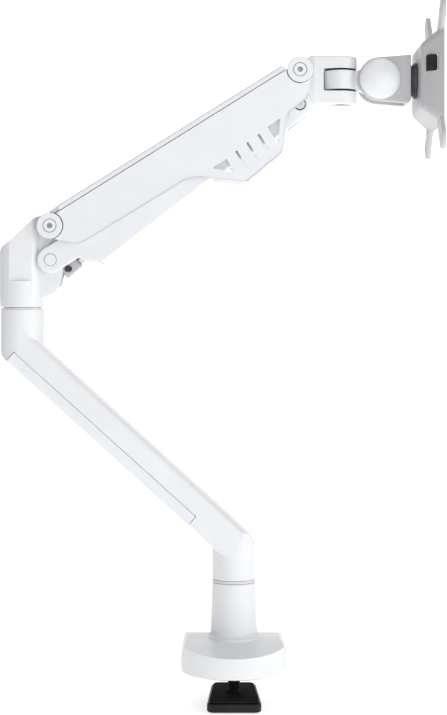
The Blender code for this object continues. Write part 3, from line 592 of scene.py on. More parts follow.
ZINC = Finish(
    "zinc", Slot.ZINC_STEEL, (0.62, 0.63, 0.66), (0.56, 0.57, 0.58), (0.22, 0.36),
    Grain(0.18, 0.003, (1.0, 6.0, 1.0)), Grain(2.5, 0.006), patch=6.0, metallic=1.0,
)
BLACK_OXIDE = Finish(
    "black_oxide", Slot.DARK_STEEL, (0.06, 0.06, 0.065), (0.09, 0.088, 0.09), (0.3, 0.44),
    Grain(0.2, 0.003, (1.0, 1.0, 4.0)), Grain(2.0, 0.006), patch=9.0, metallic=0.85,
)
BLACK_BOLT = Finish(
    "black_bolt", Slot.DARK_STEEL, (0.012, 0.012, 0.012), (0.018, 0.018, 0.018), (0.6, 0.75),
    Grain(0.2, 0.003), Grain(2.0, 0.006), specular=0.1,
)
NATURAL_ACETAL = Finish(
    "natural_acetal", Slot.ACETAL, (0.74, 0.745, 0.745), (0.70, 0.705, 0.70), (0.4, 0.5),
    Grain(0.3, 0.004), Grain(1.5, 0.01),
)


# Joint places, in millimetres ---------------------------------------------------------------

ARM_ANGLE = radians(31.94)
ARM_LENGTH = 234.4
ELBOW_X = -170.4
REAR_X, REAR_Z = -146.5, 355.0
PIVOT_DROP = 27.0
FRONT_X = REAR_X + ARM_LENGTH * cos(ARM_ANGLE)
FRONT_Z = REAR_Z + ARM_LENGTH * sin(ARM_ANGLE)
PAN_X, TILT_X, HEAD_Z = 86.0, 116.6, 472.5
STRUT_FRONT = (190.0, -4.0)  # the strut's front eye, along and above the upper arm
STRUT_REAR = (-133.0, 321.0)  # its rear eye at rest, in X and Z

# Sizes that several pieces share, in millimetres ---------------------------------------------

PIN_RADIUS = 4.0
PIVOT_BORE = 4.3
PIN_HEAD = 21.6
LINK_PIN_REACH = 17.3
LINK_BORE = 5.0
POST_BORE = 9.3
RING_BORE = 9.4
BUSH_BORE = 12.3


def place(x: float = 0.0, z: float = 0.0, lift: float = 0.0) -> Matrix:
    """Return the frame at X and Z whose own X axis is lifted by an angle."""
    return Matrix.Translation((x, 0, z)) @ Matrix.Rotation(-lift, 4, "Y")


@dataclass
class SubAssembly:
    """Pieces that share one frame. Fields are the frame and the CAD body they ride on."""

    frame: Matrix
    body: str

    def fit(
        self, solid: Solid, name: str, finish: Finish, *nodes: str, edge: float = 0.25, body: str = ""
    ) -> bpy.types.Object:
        """Finish a solid and put it in place of CAD nodes.

        Args:
            solid: The shape, in this sub-assembly's frame.
            name: The piece's name.
            finish: Its finish.
            nodes: The CAD nodes that it stands for; without any, the one of its own name.
            edge: The radius of its small edges.
            body: The body it rides on when it isn't the sub-assembly's own.

        Returns:
            The piece.
        """
        piece = solid.piece(name, self.frame, edge)
        piece.data.materials.append(finish.material())
        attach(piece, body or self.body)
        for node in nodes or (name.removesuffix("_piece"),):
            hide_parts(node)
        LOG.info("%s: %d faces", name, len(piece.data.polygons))
        return piece

    def polish(self, node: str, finish: Finish, edge: float = 0.2, body: str = "") -> bpy.types.Object:
        """Replace a CAD node by a merged copy with small rounded edges, on this body, and return the copy."""
        own = self.frame
        self.frame = Matrix()
        piece = self.fit(Solid.from_node(node), node + "_piece", finish, node, edge=edge, body=body)
        self.frame = own
        return piece


# Base and clamp ----------------------------------------------------------------------------


@dataclass
class BaseStand(SubAssembly):
    """The base casting with its column, and what is screwed under it."""

    half_width: float = 42.5
    end_centre: float = 15.0
    bottom: float = 1.2
    ridge: float = 26.5
    low_edge: float = 17.5
    shoulder: tuple[float, float] = (8.0, 19.0)
    foot: float = 18.7
    fillet: float = 4.5
    column: float = 17.5
    height: float = 69.0

    def build(self) -> None:
        """Build and dress every piece of the base."""
        self.fit(self.casting(), "base_casting_piece", POWDER_COAT, edge=0.9)
        pad = Solid.slab(capsule(self.end_centre, self.half_width - 4), 0, self.bottom - 0.3, Axis.Z)
        pad.cut(Solid.rod(7, -5, 10))
        self.fit(pad, "base_pad_piece", BLACK_RUBBER, edge=0.15)
        for node in ("base_bottom_plate", "base_nut", "base_screw_near", "base_screw_far"):
            self.polish(node, ZINC)
        self.polish("base_bush", NATURAL_ACETAL)

    def casting(self) -> Solid:
        """Return the base casting: a ridged foot, a filleted column, the pocket under it and its bores."""
        width, top = self.half_width, self.ridge
        across, up = self.shoulder
        side = [(width - across + across * x, top - up + up * z) for x, z in arc((0, 0), 1.0, 0, 90, 24)]
        side_view = [(-width, self.bottom), (width, self.bottom), *side, *((-x, z) for x, z in side[::-1])]
        reach = self.end_centre + width + 1
        casting = Solid.slab(side_view, -reach, reach)
        slopes = rounded(
            [
                (-reach, -1), (reach, -1), (reach, self.low_edge), (7, top + 0.1, 70), (-7, top + 0.1, 70),
                (-reach, self.low_edge),
            ]
        )
        casting.trim(
            Solid.slab(capsule(self.end_centre, width, 56), -5, top + 5, Axis.Z),
            Solid.slab(slopes, -width - 5, width + 5, Axis.X),
        )
        start, radius = top - 0.3, self.fillet
        fillet = [
            (self.foot + radius * (1 - sin(radians(a))), start + radius * (1 - cos(radians(a))))
            for a in range(90, -1, -10)
        ]
        column = [
            (0, self.height), (self.column - 0.5, self.height), (self.column, self.height - 0.5), *fillet,
            (self.foot + radius, 15), (0, 15),
        ]
        casting.join(Solid.lathe(column, sides=144))
        casting.cut(
            Solid.slab(capsule(self.end_centre, width - 5), -5, 14, Axis.Z),
            Solid.rod(BUSH_BORE, 34, 75),
            Solid.rod(6.5, 0, 40),
        )
        return casting


@dataclass
class DeskClamp(SubAssembly):
    """The plate under the desk and the bolt that pulls it up."""

    desk_gap: float = 20.0
    thickness: float = 8.6
    near: tuple[float, float] = (21.8, -38.0)
    far: tuple[float, float] = (18.3, 39.0)

    def outline(self, inset: float, radius: float, steps: int = 12) -> Outline:
        """Return the plate's outline, this far inside its edge and with corners of this radius."""
        (near, start), (far, end) = self.near, self.far
        near, start, far, end = near - inset, start + inset, far - inset, end - inset
        corners = [(-near, start), (near, start), (far, end), (-far, end)]
        return rounded([(*corner, radius) for corner in corners], steps)

    def build(self) -> None:
        """Build and dress the plate, its pad, the washer and the bolt."""
        top = -self.desk_gap
        low = top - self.thickness
        plate = Solid.slab(self.outline(0, 6), low, top - 1.3, Axis.Z, rim=1.5)
        plate.cut(Solid.slab(self.outline(4, 4, 10), low - 5, top - 5, Axis.Z))
        plate.join(Solid.rod(12, low + 0.8, top - 4))
        plate.cut(Solid.rod(5.4, low - 5, top), Solid.rod(9, low - 5, top - 4.4))
        self.fit(plate, "clamp_plate_piece", BLACK_MOULDED, edge=0.2)
        pad = Solid.slab(self.outline(2, 5), top - 1, top, Axis.Z).cut(Solid.rod(6, top - 5, top + 5))
        self.fit(pad, "clamp_pad_piece", BLACK_RUBBER, edge=0.15)
        self.polish("clamp_washer", ZINC)
        self.fit(self.bolt(top, low), "clamp_bolt_piece", BLACK_BOLT, edge=0.15, body="clamp_screw")

    def bolt(self, top: float, low: float) -> Solid:
        """Make the threaded bolt with its socket head.

        Args:
            top: The desk side of the clamp plate.
            low: The plate's underside.

        Returns:
            The bolt.
        """
        pitch, crest, root = 1.5, 4.9, 4.1
        threads: Outline = []
        for i in range(28):
            height = 23.0 - i * pitch
            threads += [(crest, height), (crest, height - 0.2), (root, height - 0.7), (root, height - 0.9)]
        head = low + 0.4
        profile = [
            (0, 24), (3.9, 24), *threads, (crest, top - 0.1), (crest, top - 5.9), (7.4, top - 5.9),
            (8, top - 6.5), (8, head + 0.6), (7.4, head), (0, head),
        ]
        return Solid.lathe(profile, sides=72).cut(Solid.rod(4.2, head - 3, head + 1.6, sides=6))


# Lower arm ---------------------------------------------------------------------------------


@dataclass
class LowerArm(SubAssembly):
    """The bent lower arm with the cable cover along its underside."""

    collar: float = 17.5
    foot: float = 71.6
    head: float = 288.3
    cover_depth: float = 10.0
    cover_wall: float = 2.2
    cover_half: float = 17.0
    under_start: tuple[float, float] = (-34.5, 113.9)
    under_end: tuple[float, float] = (-182.9, 247.8)

    def under(self, distance: float, depth: float) -> tuple[float, float]:
        """Return the point this far up the beam's underside and this deep in it."""
        run = Vector(self.under_end) - Vector(self.under_start)
        c, s = run.normalized()
        x, z = self.under_start
        return (x + distance * c + depth * s, z + distance * s - depth * c)

    def span(self) -> tuple[float, float]:
        """Return where the cable cover's seat starts and ends along the underside."""
        return 3.0, (Vector(self.under_end) - Vector(self.under_start)).length - 1.0

    def build(self) -> None:
        """Build and dress the arm, its cover, its post, its bush and the two seam rings."""
        self.fit(self.arm(), "lower_arm_piece", POWDER_COAT, edge=0)
        self.fit(self.cover(), "lower_cable_cover_piece", MOULDED_WHITE, edge=0.3)
        self.polish("lower_arm_post", ZINC)
        self.polish("elbow_bush", NATURAL_ACETAL)
        low, high, radius = self.foot - 2.3, self.foot - 0.3, self.collar - 0.2
        ring = rounded([(radius, high, 0.25), (radius, low, 0.25), (RING_BORE, low), (RING_BORE, high)], 4)
        self.fit(Solid.lathe(ring), "base_washer_ring_piece", NATURAL_ACETAL, edge=0, body="base")
        low, high, radius = self.head + 0.05, self.head + 1.85, self.collar - 0.4
        ring = [
            (15.2, high), (15.2, high - 0.7), (radius, high - 0.7), (radius, low), (RING_BORE, low),
            (RING_BORE, high),
        ]
        self.fit(Solid.lathe(ring, at=(ELBOW_X, 0, 0)), "elbow_washer_ring_piece", NATURAL_ACETAL, edge=0)

    def arm(self) -> Solid:
        """Return the beam with its two collars, the cover's seat and the bearing seats."""
        side = self.collar
        outline = rounded(
            [
                (side, 86), (side, 98.9, 9), (14.3, 106.1, 12), (-160, 265.4), (-166, 284),
                (ELBOW_X - side, 284), (ELBOW_X - side, 252.9, 12), (*self.under_end, 6), (-9, 90.9),
                (-4, 86),
            ],
            12,
        )
        arm = Solid.slab(outline, 0.1 - side, side - 0.1, rim=6.5, steps=6)
        plan = [(ELBOW_X / 2 + y, x) for x, y in capsule(-ELBOW_X / 2, side - 0.05, 48)]
        arm.trim(Solid.slab(plan, 60, 300, Axis.Z))
        foot, head = self.foot, self.head
        lower = [(0, 97.5), (side, 97.5), (side, foot + 0.5), (side - 0.5, foot), (0, foot)]
        upper = [(0, head), (side - 0.5, head), (side, head - 0.5), (side, 256), (0, 256)]
        arm.join(Solid.lathe(lower, sides=144), Solid.lathe(upper, at=(ELBOW_X, 0, 0), sides=144))
        first, last = self.span()
        deep = self.cover_depth
        seat = [self.under(first, -9), self.under(first, deep), self.under(last, deep), self.under(last, -9)]
        arm.cut(
            Solid.slab(seat, -30, 30),
            Solid.rod(POST_BORE, 60, 88),
            Solid.rod(BUSH_BORE, 256, 300, (ELBOW_X, 0)),
        )
        return arm

    def cover(self) -> Solid:
        """Return the channel-shaped cable cover with a window near each end."""
        wall, half = self.cover_wall, self.cover_half
        first, last = self.span()
        first, last, top = first + 0.3, last - 0.3, self.cover_depth - 0.3
        outline = [self.under(first, 0), self.under(first, top), self.under(last, top), self.under(last, 0)]
        cover = Solid.slab(outline, -half, half)
        cover.bevel([e for e in cover.mesh.edges if self.is_keel(e, first, last)], 4.5, 6)
        cover.soften(Vector((-300, -30, 0)), Vector((100, 30, 400)), 0.5, 2)
        channel = [
            self.under(first + wall, wall), self.under(first + wall, top + 5),
            self.under(last - wall, top + 5), self.under(last - wall, wall),
        ]
        cover.cut(Solid.slab(channel, wall - half, half - wall))
        for start in (first + 11, last - 21):
            corners = ((start, -5), (start, wall + 1), (start + 16, wall + 1), (start + 16, -5))
            window = [(*self.under(*corner), 0.1) for corner in corners]
            cover.cut(Solid.slab(rounded(window, 2), -8, 8))
        return cover

    def is_keel(self, edge: bmesh.types.BMEdge, first: float, last: float) -> bool:
        """Tell whether an edge runs along the cover's underside, between these distances."""
        low, high = Vector(self.under(first, 0)), Vector(self.under(last, 0))
        ends = [Vector((v.co.x, v.co.z)) for v in edge.verts]
        meets = all(min((end - low).length, (end - high).length) < 0.01 for end in ends)
        return meets and (ends[0] - ends[1]).length > 1


# Elbow -------------------------------------------------------------------------------------


def bore(radius: float, at: tuple[float, float] = (0, 0), sides: int = 72) -> Solid:
    """Return a cutter of this radius along Y, through both sides of the arm, at X and Z."""
    return Solid.rod(radius, -40, 40, at, Axis.Y, sides)


def pin_head() -> Outline:
    """Return the profile of a pivot pin's head, from its rounded face to its rim."""
    return [(0, PIN_HEAD + 1.8), *arc((4.6, PIN_HEAD + 1.3), 0.5, 90, 0, 4), (5.1, PIN_HEAD)]


def pivot_pin() -> Solid:
    """Return a pin along Y, about the origin, with a socket head on the near side."""
    profile = pin_head() + [(PIN_RADIUS, PIN_HEAD), (PIN_RADIUS, 0.3 - PIN_HEAD), (0, 0.3 - PIN_HEAD)]
    pin = Solid.lathe(profile, Axis.Y, sides=72)
    return pin.cut(Solid.rod(2.4, -30, 4 - PIN_HEAD, axis=Axis.Y, sides=6))


def pin_cap() -> Solid:
    """Return the screw cap on a pin's far end."""
    cap = Solid.lathe(pin_head() + [(0, PIN_HEAD)], Axis.Y, sides=72).turned(Matrix.Rotation(pi, 4, "Z"))
    return cap.cut(Solid.rod(2.2, PIN_HEAD + 0.4, 30, axis=Axis.Y, sides=6))


def fit_pivot(arm: SubAssembly, name: str, at: Matrix) -> None:
    """Fit a pivot pin of this name and its screw cap to a sub-assembly, at a place in its frame."""
    arm.fit(pivot_pin().turned(at), f"{name}_piece", POWDER_COAT, edge=0.12)
    arm.fit(pin_cap().turned(at), f"{name}_cap_piece", POWDER_COAT, edge=0.12)


def screw_profile(top: float, under: float, end: float) -> Outline:
    """Return the profile of a cap screw.

    Args:
        top: The height of its head's face.
        under: The height of its head's underside.
        end: The height of its shank's end.

    Returns:
        The points for a lathe.
    """
    radius = PIN_RADIUS
    return [(0, top), (6.4, top), (7, top - 0.6), (7, under), (radius, under), (radius, end), (0, end)]


def washer_profile(radius: float, low: float, high: float) -> Outline:
    """Return the profile of a washer of this radius between two heights, round a pivot's bore."""
    return [(radius, high), (radius, low), (PIVOT_BORE, low), (PIVOT_BORE, high)]


@dataclass
class Elbow(SubAssembly):
    """The elbow casting that both links of the upper arm hinge on."""

    foot: float = 290.2
    wide: float = 18.2
    ear: float = 11.0
    facet: float = 15.9
    boss: float = 8.8
    boss_half: float = 14.3
    slot_half: float = 7.6

    def build(self) -> None:
        """Build and dress the casting, its pins and the strut's adjuster."""
        ear = REAR_X - ELBOW_X
        self.fit(self.casting(ear), "elbow_casting_piece", POWDER_COAT, edge=0.5)
        fit_pivot(self, "rear_upper_pin", Matrix.Translation((ear, 0, REAR_Z)))
        reach = LINK_PIN_REACH
        lower = Solid.rod(4.7, -reach, reach, (ear, REAR_Z - PIVOT_DROP), Axis.Y, rim=0.5)
        self.fit(lower, "rear_lower_pin_piece", POWDER_COAT, edge=0)
        self.polish("elbow_post", ZINC)
        self.polish("tension_screw", BLACK_OXIDE)
        self.polish("tension_trolley", BLACK_OXIDE, 0.4)

    def casting(self, ear: float) -> Solid:
        """Make the casting.

        Args:
            ear: How far the rear pivots lie from the swivel axis.

        Returns:
            The casting with its facets, bosses, slot and bores.
        """
        wide, foot = self.wide, self.foot
        side_view = rounded(
            [
                (-17.3, foot + 1), (-17.3, 294), (-wide, 302, 6), (-wide, 337, 9), (-10.6, 342, 8),
                (11.4, 362, 9), (ear - 4, 364.6, 6), (ear + 9.6, 364.6, 9), (ear + 9.6, 318, 6),
                (ear + 6.5, 307, 8), (27, 302.3, 6), (8.1, 293.5), (8.1, foot + 1),
            ],
            12,
        )
        casting = Solid.slab(side_view, -wide, wide)
        ears = [(22, -self.ear), (60, -self.ear), (60, self.ear), (22, self.ear)]
        casting.trim(Solid.slab(arc((0, 0), wide, 37, 323, 104) + ears, 280, 380, Axis.Z))
        skirt = [(0, 304), (wide - 0.1, 304), (17.35, 298), (17.35, foot + 0.4), (17, foot), (0, foot)]
        half, upper, lower = self.boss_half, (ear, REAR_Z), (ear, REAR_Z - PIVOT_DROP)
        casting.join(
            Solid.lathe(skirt, sides=144),
            *(Solid.rod(self.boss, -half, half, at, Axis.Y, rim=0.4) for at in (upper, lower)),
        )
        facet = [(-30, 311), (30, 311), (30, 400), (-30, 400)]
        slot = [(9.4, 307), (60, 307), (60, 400), (9.4, 400)]
        casting.cut(
            Solid.slab(facet, self.facet, 30),
            Solid.slab(facet, -30, -self.facet),
            Solid.slab(slot, -self.slot_half, self.slot_half),
            Solid.rod(POST_BORE, 280, 305),
            bore(PIVOT_BORE, upper),
            bore(LINK_BORE, lower),
        )
        return casting


# Upper arm ---------------------------------------------------------------------------------


@dataclass
class UpperArm(SubAssembly):
    """The channel-shaped frame, its side covers and top cover, and the pivots' discs."""

    inner: float = 17.2
    outer: float = 19.4
    cover_inner: float = 19.7
    cover_outer: float = 23.2
    top: float = 10.3
    top_half: float = 22.6
    end: float = 9.4
    disc: float = 10.2

    def build(self) -> None:
        """Build and dress the frame, the covers, the discs and the front pin."""
        self.fit(self.channel(), "upper_arm_frame_piece", FRAME_GREY, edge=0.3)
        for side, name in ((-1, "near"), (1, "far")):
            self.fit(self.side_cover(side), f"{name}_side_cover_piece", MOULDED_WHITE, edge=0.2)
            for u, end in ((0, "rear"), (ARM_LENGTH, "front")):
                self.fit(self.pivot_disc(u, side), f"{end}_{name}_disc_piece", MOULDED_WHITE, edge=0)
        self.fit(self.top_cover(), "top_cover_piece", MOULDED_WHITE, edge=0.2)
        fit_pivot(self, "front_upper_pin", Matrix.Translation((ARM_LENGTH, 0, 0)))
        self.polish("strut_front_pin", ZINC)

    def top_cover(self) -> Solid:
        """Return the cover over the frame's web, with the curved tail round the rear pivot."""
        high, half = self.top, self.top_half
        cover = Solid.slab([(12.5, 6.1), (225, 6.1), (225, high), (12.5, high)], -half, half)
        cover.soften(Vector((0, -30, 8)), Vector((300, 30, 11)), 1.6, 4)
        tail = arc((0, 0), 10.5, 38, 60, 8) + [(5.6, high - 0.05), (20, high - 0.05), (20, 6.4)]
        return cover.join(Solid.slab(tail, 0.1 - self.outer, self.outer - 0.1, rim=0.3))

    def channel(self) -> Solid:
        """Return the frame: two walls with round ends and the web that joins them."""
        outline = (
            arc((0, 0), self.end, 38, 250, 48)
            + [(14, -13), (150, -14), (224, -12)]
            + arc((ARM_LENGTH, 0), self.end, -110, 142, 48)
            + [(222, 5.8), (14, 5.8)]
        )
        channel = Solid.slab(outline, -self.outer, self.outer)
        inside = [(-30, -40), (280, -40), (280, 40), (221, 40), (221, 2.6), (14, 2.6), (14, 40), (-30, 40)]
        channel.cut(Solid.slab(inside, -self.inner, self.inner))
        for at, radius in (((0, 0), PIVOT_BORE), ((ARM_LENGTH, 0), PIVOT_BORE), (STRUT_FRONT, 3.3)):
            channel.cut(bore(radius, at, 48))
        return channel

    def side_cover(self, side: int) -> Solid:
        """Return one side cover; side is -1 for the near one and 1 for the far one."""
        outline = rounded(
            [
                (-1.9, -11.7), (12.9, -24.6, 7), (117, -25.6, 34), (150.4, -52.7, 2.4), (188.4, -47.6, 2.4),
                (207, -24.2, 13), (228.5, -21.6, 8), (237.6, -10.7), (236, 0), (ARM_LENGTH, 5.5), (0, 5.5),
            ],
            14,
        )
        low, high = sorted((side * self.cover_inner, side * self.cover_outer))
        cover = Solid.slab(outline, low, high)
        face = side * self.cover_outer
        cover.soften(Vector((-20, face - 0.1, -80)), Vector((260, face + 0.1, 20)), 0.9, 4)
        openings = [
            [(133.6, -29.5), (147.3, -29.5), (147.0, -42.5)],
            [(188.3, -25.0), (200.6, -24.4), (187.9, -42.0)],
        ]
        for u, foot, head in ((157.0, -44.3, -28.0), (168.0, -42.6, -27.0), (179.0, -42.0, -26.0)):
            openings.append([(u - 1, foot), (u + 1, foot), (u + 1, head), (u - 1, head)])
        start, end = low - 5, high + 5
        return cover.cut(
            *(Solid.rod(self.disc + 0.8, start, end, (u, 0), Axis.Y, sides=96) for u in (0, ARM_LENGTH)),
            *(Solid.slab(rounded([(*p, 0.7) for p in o], 5), start, end) for o in openings),
        )

    def pivot_disc(self, u: float, side: int) -> Solid:
        """Return the stepped disc round a pivot at u on one side of the arm."""
        low, high, radius = self.cover_inner, self.cover_outer + 0.4, self.disc
        profile = [
            (5.5, high - 0.3), *arc((5.8, high - 0.3), 0.3, 180, 90, 3),
            *arc((radius - 0.7, high - 0.7), 0.7, 90, 0, 5), (radius, low), (5.5, low),
        ]
        turn = Matrix.Translation((u, 0, 0)) @ Matrix.Rotation(pi if side > 0 else 0, 4, "Z")
        return Solid.lathe(profile, Axis.Y).turned(turn)


@dataclass
class LowerLink(SubAssembly):
    """The link under the upper arm, an upward-open channel with round ends."""

    inner: float = 14.6
    outer: float = 16.8

    def build(self) -> None:
        """Build and dress the link."""
        outline = (
            arc((0, 0), 10.6, 90, 270, 48)
            + [(20.2, -10.6), (22.4, -14.3), (33.1, -23.9), (143.6, -13.1), (215.3, -12.1)]
            + arc((ARM_LENGTH, 0), 9.9, -100, 90, 48)
            + [(140, 7.5), (40, 10.6)]
        )
        link = Solid.slab(outline, -self.outer, self.outer, rim=1.6)
        inside = [
            (-30, -40), (34, -40), (34, -21.6), (143.6, -10.9), (216, -9.9), (216, -40), (300, -40),
            (300, 40), (-30, 40),
        ]
        link.cut(
            Solid.slab(inside, -self.inner, self.inner), bore(LINK_BORE), bore(LINK_BORE, (ARM_LENGTH, 0))
        )
        self.fit(link, "lower_link_piece", POWDER_COAT, edge=0.3)


@dataclass
class GasStrut(SubAssembly):
    """The gas strut inside the arm: its cylinder on the arm, and its rod and fork on the elbow."""

    length: float
    radius: float = 9.0
    front: float = 28.0
    rear: float = 142.0
    rod: float = 4.0

    def build(self) -> None:
        """Build and dress the cylinder, the rod, the fork and its pin."""
        front, rear, radius = self.front, self.rear, self.radius
        profile = [
            (0, rear), *arc((radius - 1.6, rear - 1.6), 1.6, 90, 0, 6), (radius, front + 6),
            (radius - 0.5, front + 5.4), (radius - 0.5, front + 4.6), (radius, front + 4),
            *arc((radius - 1.6, front + 1.6), 1.6, 0, -90, 6), (3.6, front), (3.6, 4), (0, 4),
        ]
        cylinder = Solid.lathe(profile, Axis.X)
        cylinder.join(Solid.rod(6.2, -4.5, 4.5, axis=Axis.Y, rim=0.5))
        cylinder.cut(
            Solid.rod(3.3, -10, 10, axis=Axis.Y, sides=48),
            Solid.rod(self.rod + 0.3, 78, rear + 5, axis=Axis.X, sides=48),
        )
        self.fit(cylinder, "gas_cylinder_piece", BLACK_OXIDE, edge=0.2)
        rod = Solid.rod(self.rod, 120, self.length - 10.3, axis=Axis.X, rim=0.3)
        self.fit(rod, "gas_rod_piece", ZINC, edge=0, body="strut_rod")
        fork = Solid.block((self.length - 10, -5.5, -5.5), (self.length + 5.5, 5.5, 5.5), 1.2)
        fork.cut(Solid.rod(2.8, -10, 10, (self.length, 0), Axis.Y, sides=48))
        self.fit(fork, "rod_end_piece", CAST_GREY, edge=0.2, body="strut_rod")
        pin = Solid.rod(2.5, -7.2, 7.2, (self.length, 0), Axis.Y, 48, 0.4)
        self.fit(pin, "rod_end_pin_piece", BLACK_OXIDE, edge=0, body="strut_rod")


# Head --------------------------------------------------------------------------------------


@dataclass
class Knuckle(SubAssembly):
    """The front casting that keeps the head level, forked above and below the yoke."""

    lip_top: float = 491.3
    lip_low: float = 453.0
    slot_top: float = 481.5
    slot_low: float = 463.3
    barrel: float = 13.0
    slot_start: float = 71.6
    ear: float = 9.4
    ear_half: float = 14.3

    def build(self) -> None:
        """Build and dress the casting, its pins, the pan bolt, its nut and washers."""
        self.fit(self.casting(), "knuckle_piece", POWDER_COAT, edge=0.4)
        z, x = -FRONT_Z, PAN_X - FRONT_X
        lower, reach = (0, -PIVOT_DROP), LINK_PIN_REACH
        pin = Solid.rod(PIN_RADIUS, -reach, reach, lower, Axis.Y, rim=0.5)
        for low, high in ((-30, 1 - reach), (reach - 1, 30)):
            pin.cut(Solid.rod(2.0, low, high, lower, Axis.Y, sides=6))
        self.fit(pin, "front_lower_pin_piece", ZINC, edge=0.1)
        bolt = Solid.lathe(screw_profile(top=490.8 + z, under=486.3 + z, end=454 + z), at=(x, 0, 0))
        bolt.cut(Solid.rod(3.2, 488 + z, 500 + z, (x, 0), sides=6))
        self.fit(bolt, "pan_bolt_piece", BLACK_OXIDE, edge=0.12)
        self.polish("pan_nut", ZINC, 0.3)
        for low, name in ((self.slot_top - 1.3, "upper"), (self.slot_low + 0.3, "lower")):
            washer = Solid.lathe(washer_profile(radius=12.4, low=low + z, high=low + 1 + z), at=(x, 0, 0))
            self.fit(washer, f"pan_washer_{name}_piece", BLACK_MOULDED, edge=0.12)

    def casting(self) -> Solid:
        """Return the casting: a barrel with two lips, the ears behind it and its bores."""
        z, x = -FRONT_Z, PAN_X - FRONT_X
        plan = arc((x, 0), self.barrel, -90, 90, 64) + [(8, self.barrel), (8, -self.barrel)]
        casting = Solid.slab(plan, self.lip_low + z, self.lip_top + z, Axis.Z, rim=1.2)
        ears = (
            arc((0, 0), self.ear, 80, 180, 32)
            + arc((0, -PIVOT_DROP), self.ear, 180, 290, 32)
            + [(12.5, self.lip_low + z + 0.5), (12.5, self.lip_top + z - 0.5)]
        )
        casting.join(Solid.slab(ears, -self.ear_half, self.ear_half))
        start, low, high = self.slot_start - FRONT_X, self.slot_low + z, self.slot_top + z
        slot = rounded([(start, low, 1.5), (200, low), (200, high), (start, high, 1.5)], 5)
        casting.cut(
            Solid.slab(slot, -40, 40),
            Solid.rod(PIVOT_BORE, -60, 60, (x, 0)),
            Solid.rod(7.6, 486 + z, 500 + z, (x, 0)),
            Solid.rod(7.9, 440 + z, 459 + z, (x, 0)),
            bore(PIVOT_BORE),
            bore(PIVOT_BORE, (0, -PIVOT_DROP)),
        )
        return casting


@dataclass
class PanYoke(SubAssembly):
    """The yoke that pans in the knuckle's slot and reaches into the tilt bracket."""

    barrel: float = 13.9
    tongue: float = 13.2
    tongue_half: float = 8.7
    low: float = 464.9
    high: float = 479.9

    def build(self) -> None:
        """Build and dress the yoke."""
        low, high, half = self.low - HEAD_Z, self.high - HEAD_Z, self.tongue_half
        reach = TILT_X - PAN_X
        yoke = Solid.rod(self.barrel, low, high, sides=120, rim=0.6)
        side_view = (
            [(4, low + 0.5), (12, low + 0.5), (18, -9.5), (26, -12.6)]
            + arc((reach, 0), self.tongue, -100, 100, 48)
            + [(26, 12.6), (18, 9.5), (12, high - 0.5), (4, high - 0.5)]
        )
        yoke.join(Solid.slab(side_view, -half, half, rim=1.2))
        yoke.cut(Solid.rod(PIVOT_BORE, -30, 30), bore(PIVOT_BORE, (reach, 0)))
        self.fit(yoke, "pan_yoke_piece", POWDER_COAT, edge=0.3)


@dataclass
class TiltHead(SubAssembly):
    """The tilt bracket, its domed caps and the joint that the screen plate turns on."""

    radius: float = 17.3
    half_width: float = 15.7
    flange: float = 19.2
    dome: float = 16.4
    front: float = 24.7

    def build(self) -> None:
        """Build and dress the bracket, the caps, the bolts and the ring."""
        self.fit(self.bracket(), "tilt_bracket_piece", CAST_GREY, edge=0.4)
        for side, name in ((-1, "near"), (1, "far")):
            self.fit(self.cap(side), f"tilt_cap_{name}_piece", GLOSS_WHITE, edge=0.1)
        self.fit(self.ring(), "rotation_ring_piece", RING_GREY, edge=0.12)
        for node, finish in (("tilt_bolt", BLACK_OXIDE), ("tilt_nut", ZINC), ("rotation_nut", ZINC)):
            self.polish(node, finish, 0.25)
        x = -TILT_X
        bolt = Solid.lathe(screw_profile(top=157 + x, under=152 + x, end=131.6 + x), Axis.X)
        bolt.cut(Solid.rod(3.0, 154.5 + x, 170 + x, axis=Axis.X, sides=6))
        self.fit(bolt, "rotation_bolt_piece", BLACK_OXIDE, edge=0.12)
        washer = Solid.lathe(washer_profile(radius=11, low=150.1 + x, high=151.7 + x), Axis.X)
        self.fit(washer, "rotation_washer_piece", ZINC, edge=0.2)

    def bracket(self) -> Solid:
        """Return the U-shaped bracket with round cheeks and a flat hub at the front."""
        front, flange, radius = self.front, self.flange, self.radius
        outline = [(front, flange), (0, radius)] + arc((0, 0), radius, 92, 268, 72)
        outline += [(front - 2.1, -flange), (front, -17)]
        bracket = Solid.slab(outline, -self.half_width, self.half_width, rim=1.0)
        inside = arc((0, 0), 19.0, 90, 270, 48) + [(front - 4.2, -30), (front - 4.2, 30)]
        bracket.cut(
            Solid.slab(inside, -9.0, 9.0),
            bore(PIVOT_BORE),
            Solid.rod(PIVOT_BORE, 10, 40, axis=Axis.X),
        )
        return bracket

    def cap(self, side: int) -> Solid:
        """Return the domed cap over the tilt bolt on one side."""
        shoulder = self.dome - 1.8
        dome = [(shoulder * sin(radians(a)) + 1.8, 16.6 + 5.6 * cos(radians(a))) for a in range(6, 91, 6)]
        cap = Solid.lathe([(0, 22.25), (1.0, 22.24), *dome, (self.dome, 16.0), (0, 16.0)], Axis.Y)
        cap.cut(Solid.rod(7.8, -19.4, -10, axis=Axis.Y))
        return cap.turned(Matrix.Rotation(pi if side > 0 else 0, 4, "Z"))

    def ring(self) -> Solid:
        """Return the conical friction ring with its serrated rim."""
        x = -TILT_X
        profile = [
            (14.3, 146.6 + x), (14.3, 145.4 + x), (13.9, 144.9 + x), (10.9, 141.7 + x),
            (PIVOT_BORE, 141.7 + x), (PIVOT_BORE, 146.6 + x),
        ]
        ring = Solid.lathe(profile, Axis.X, sides=120)
        teeth: Outline = []
        for i in range(60):
            teeth += arc((0, 0), 14.6, i * 6, i * 6 + 3, 1) + arc((0, 0), 13.7, i * 6 + 3.6, i * 6 + 5.4, 1)
        return ring.trim(Solid.slab(teeth, 140 + x, 148 + x, Axis.X))


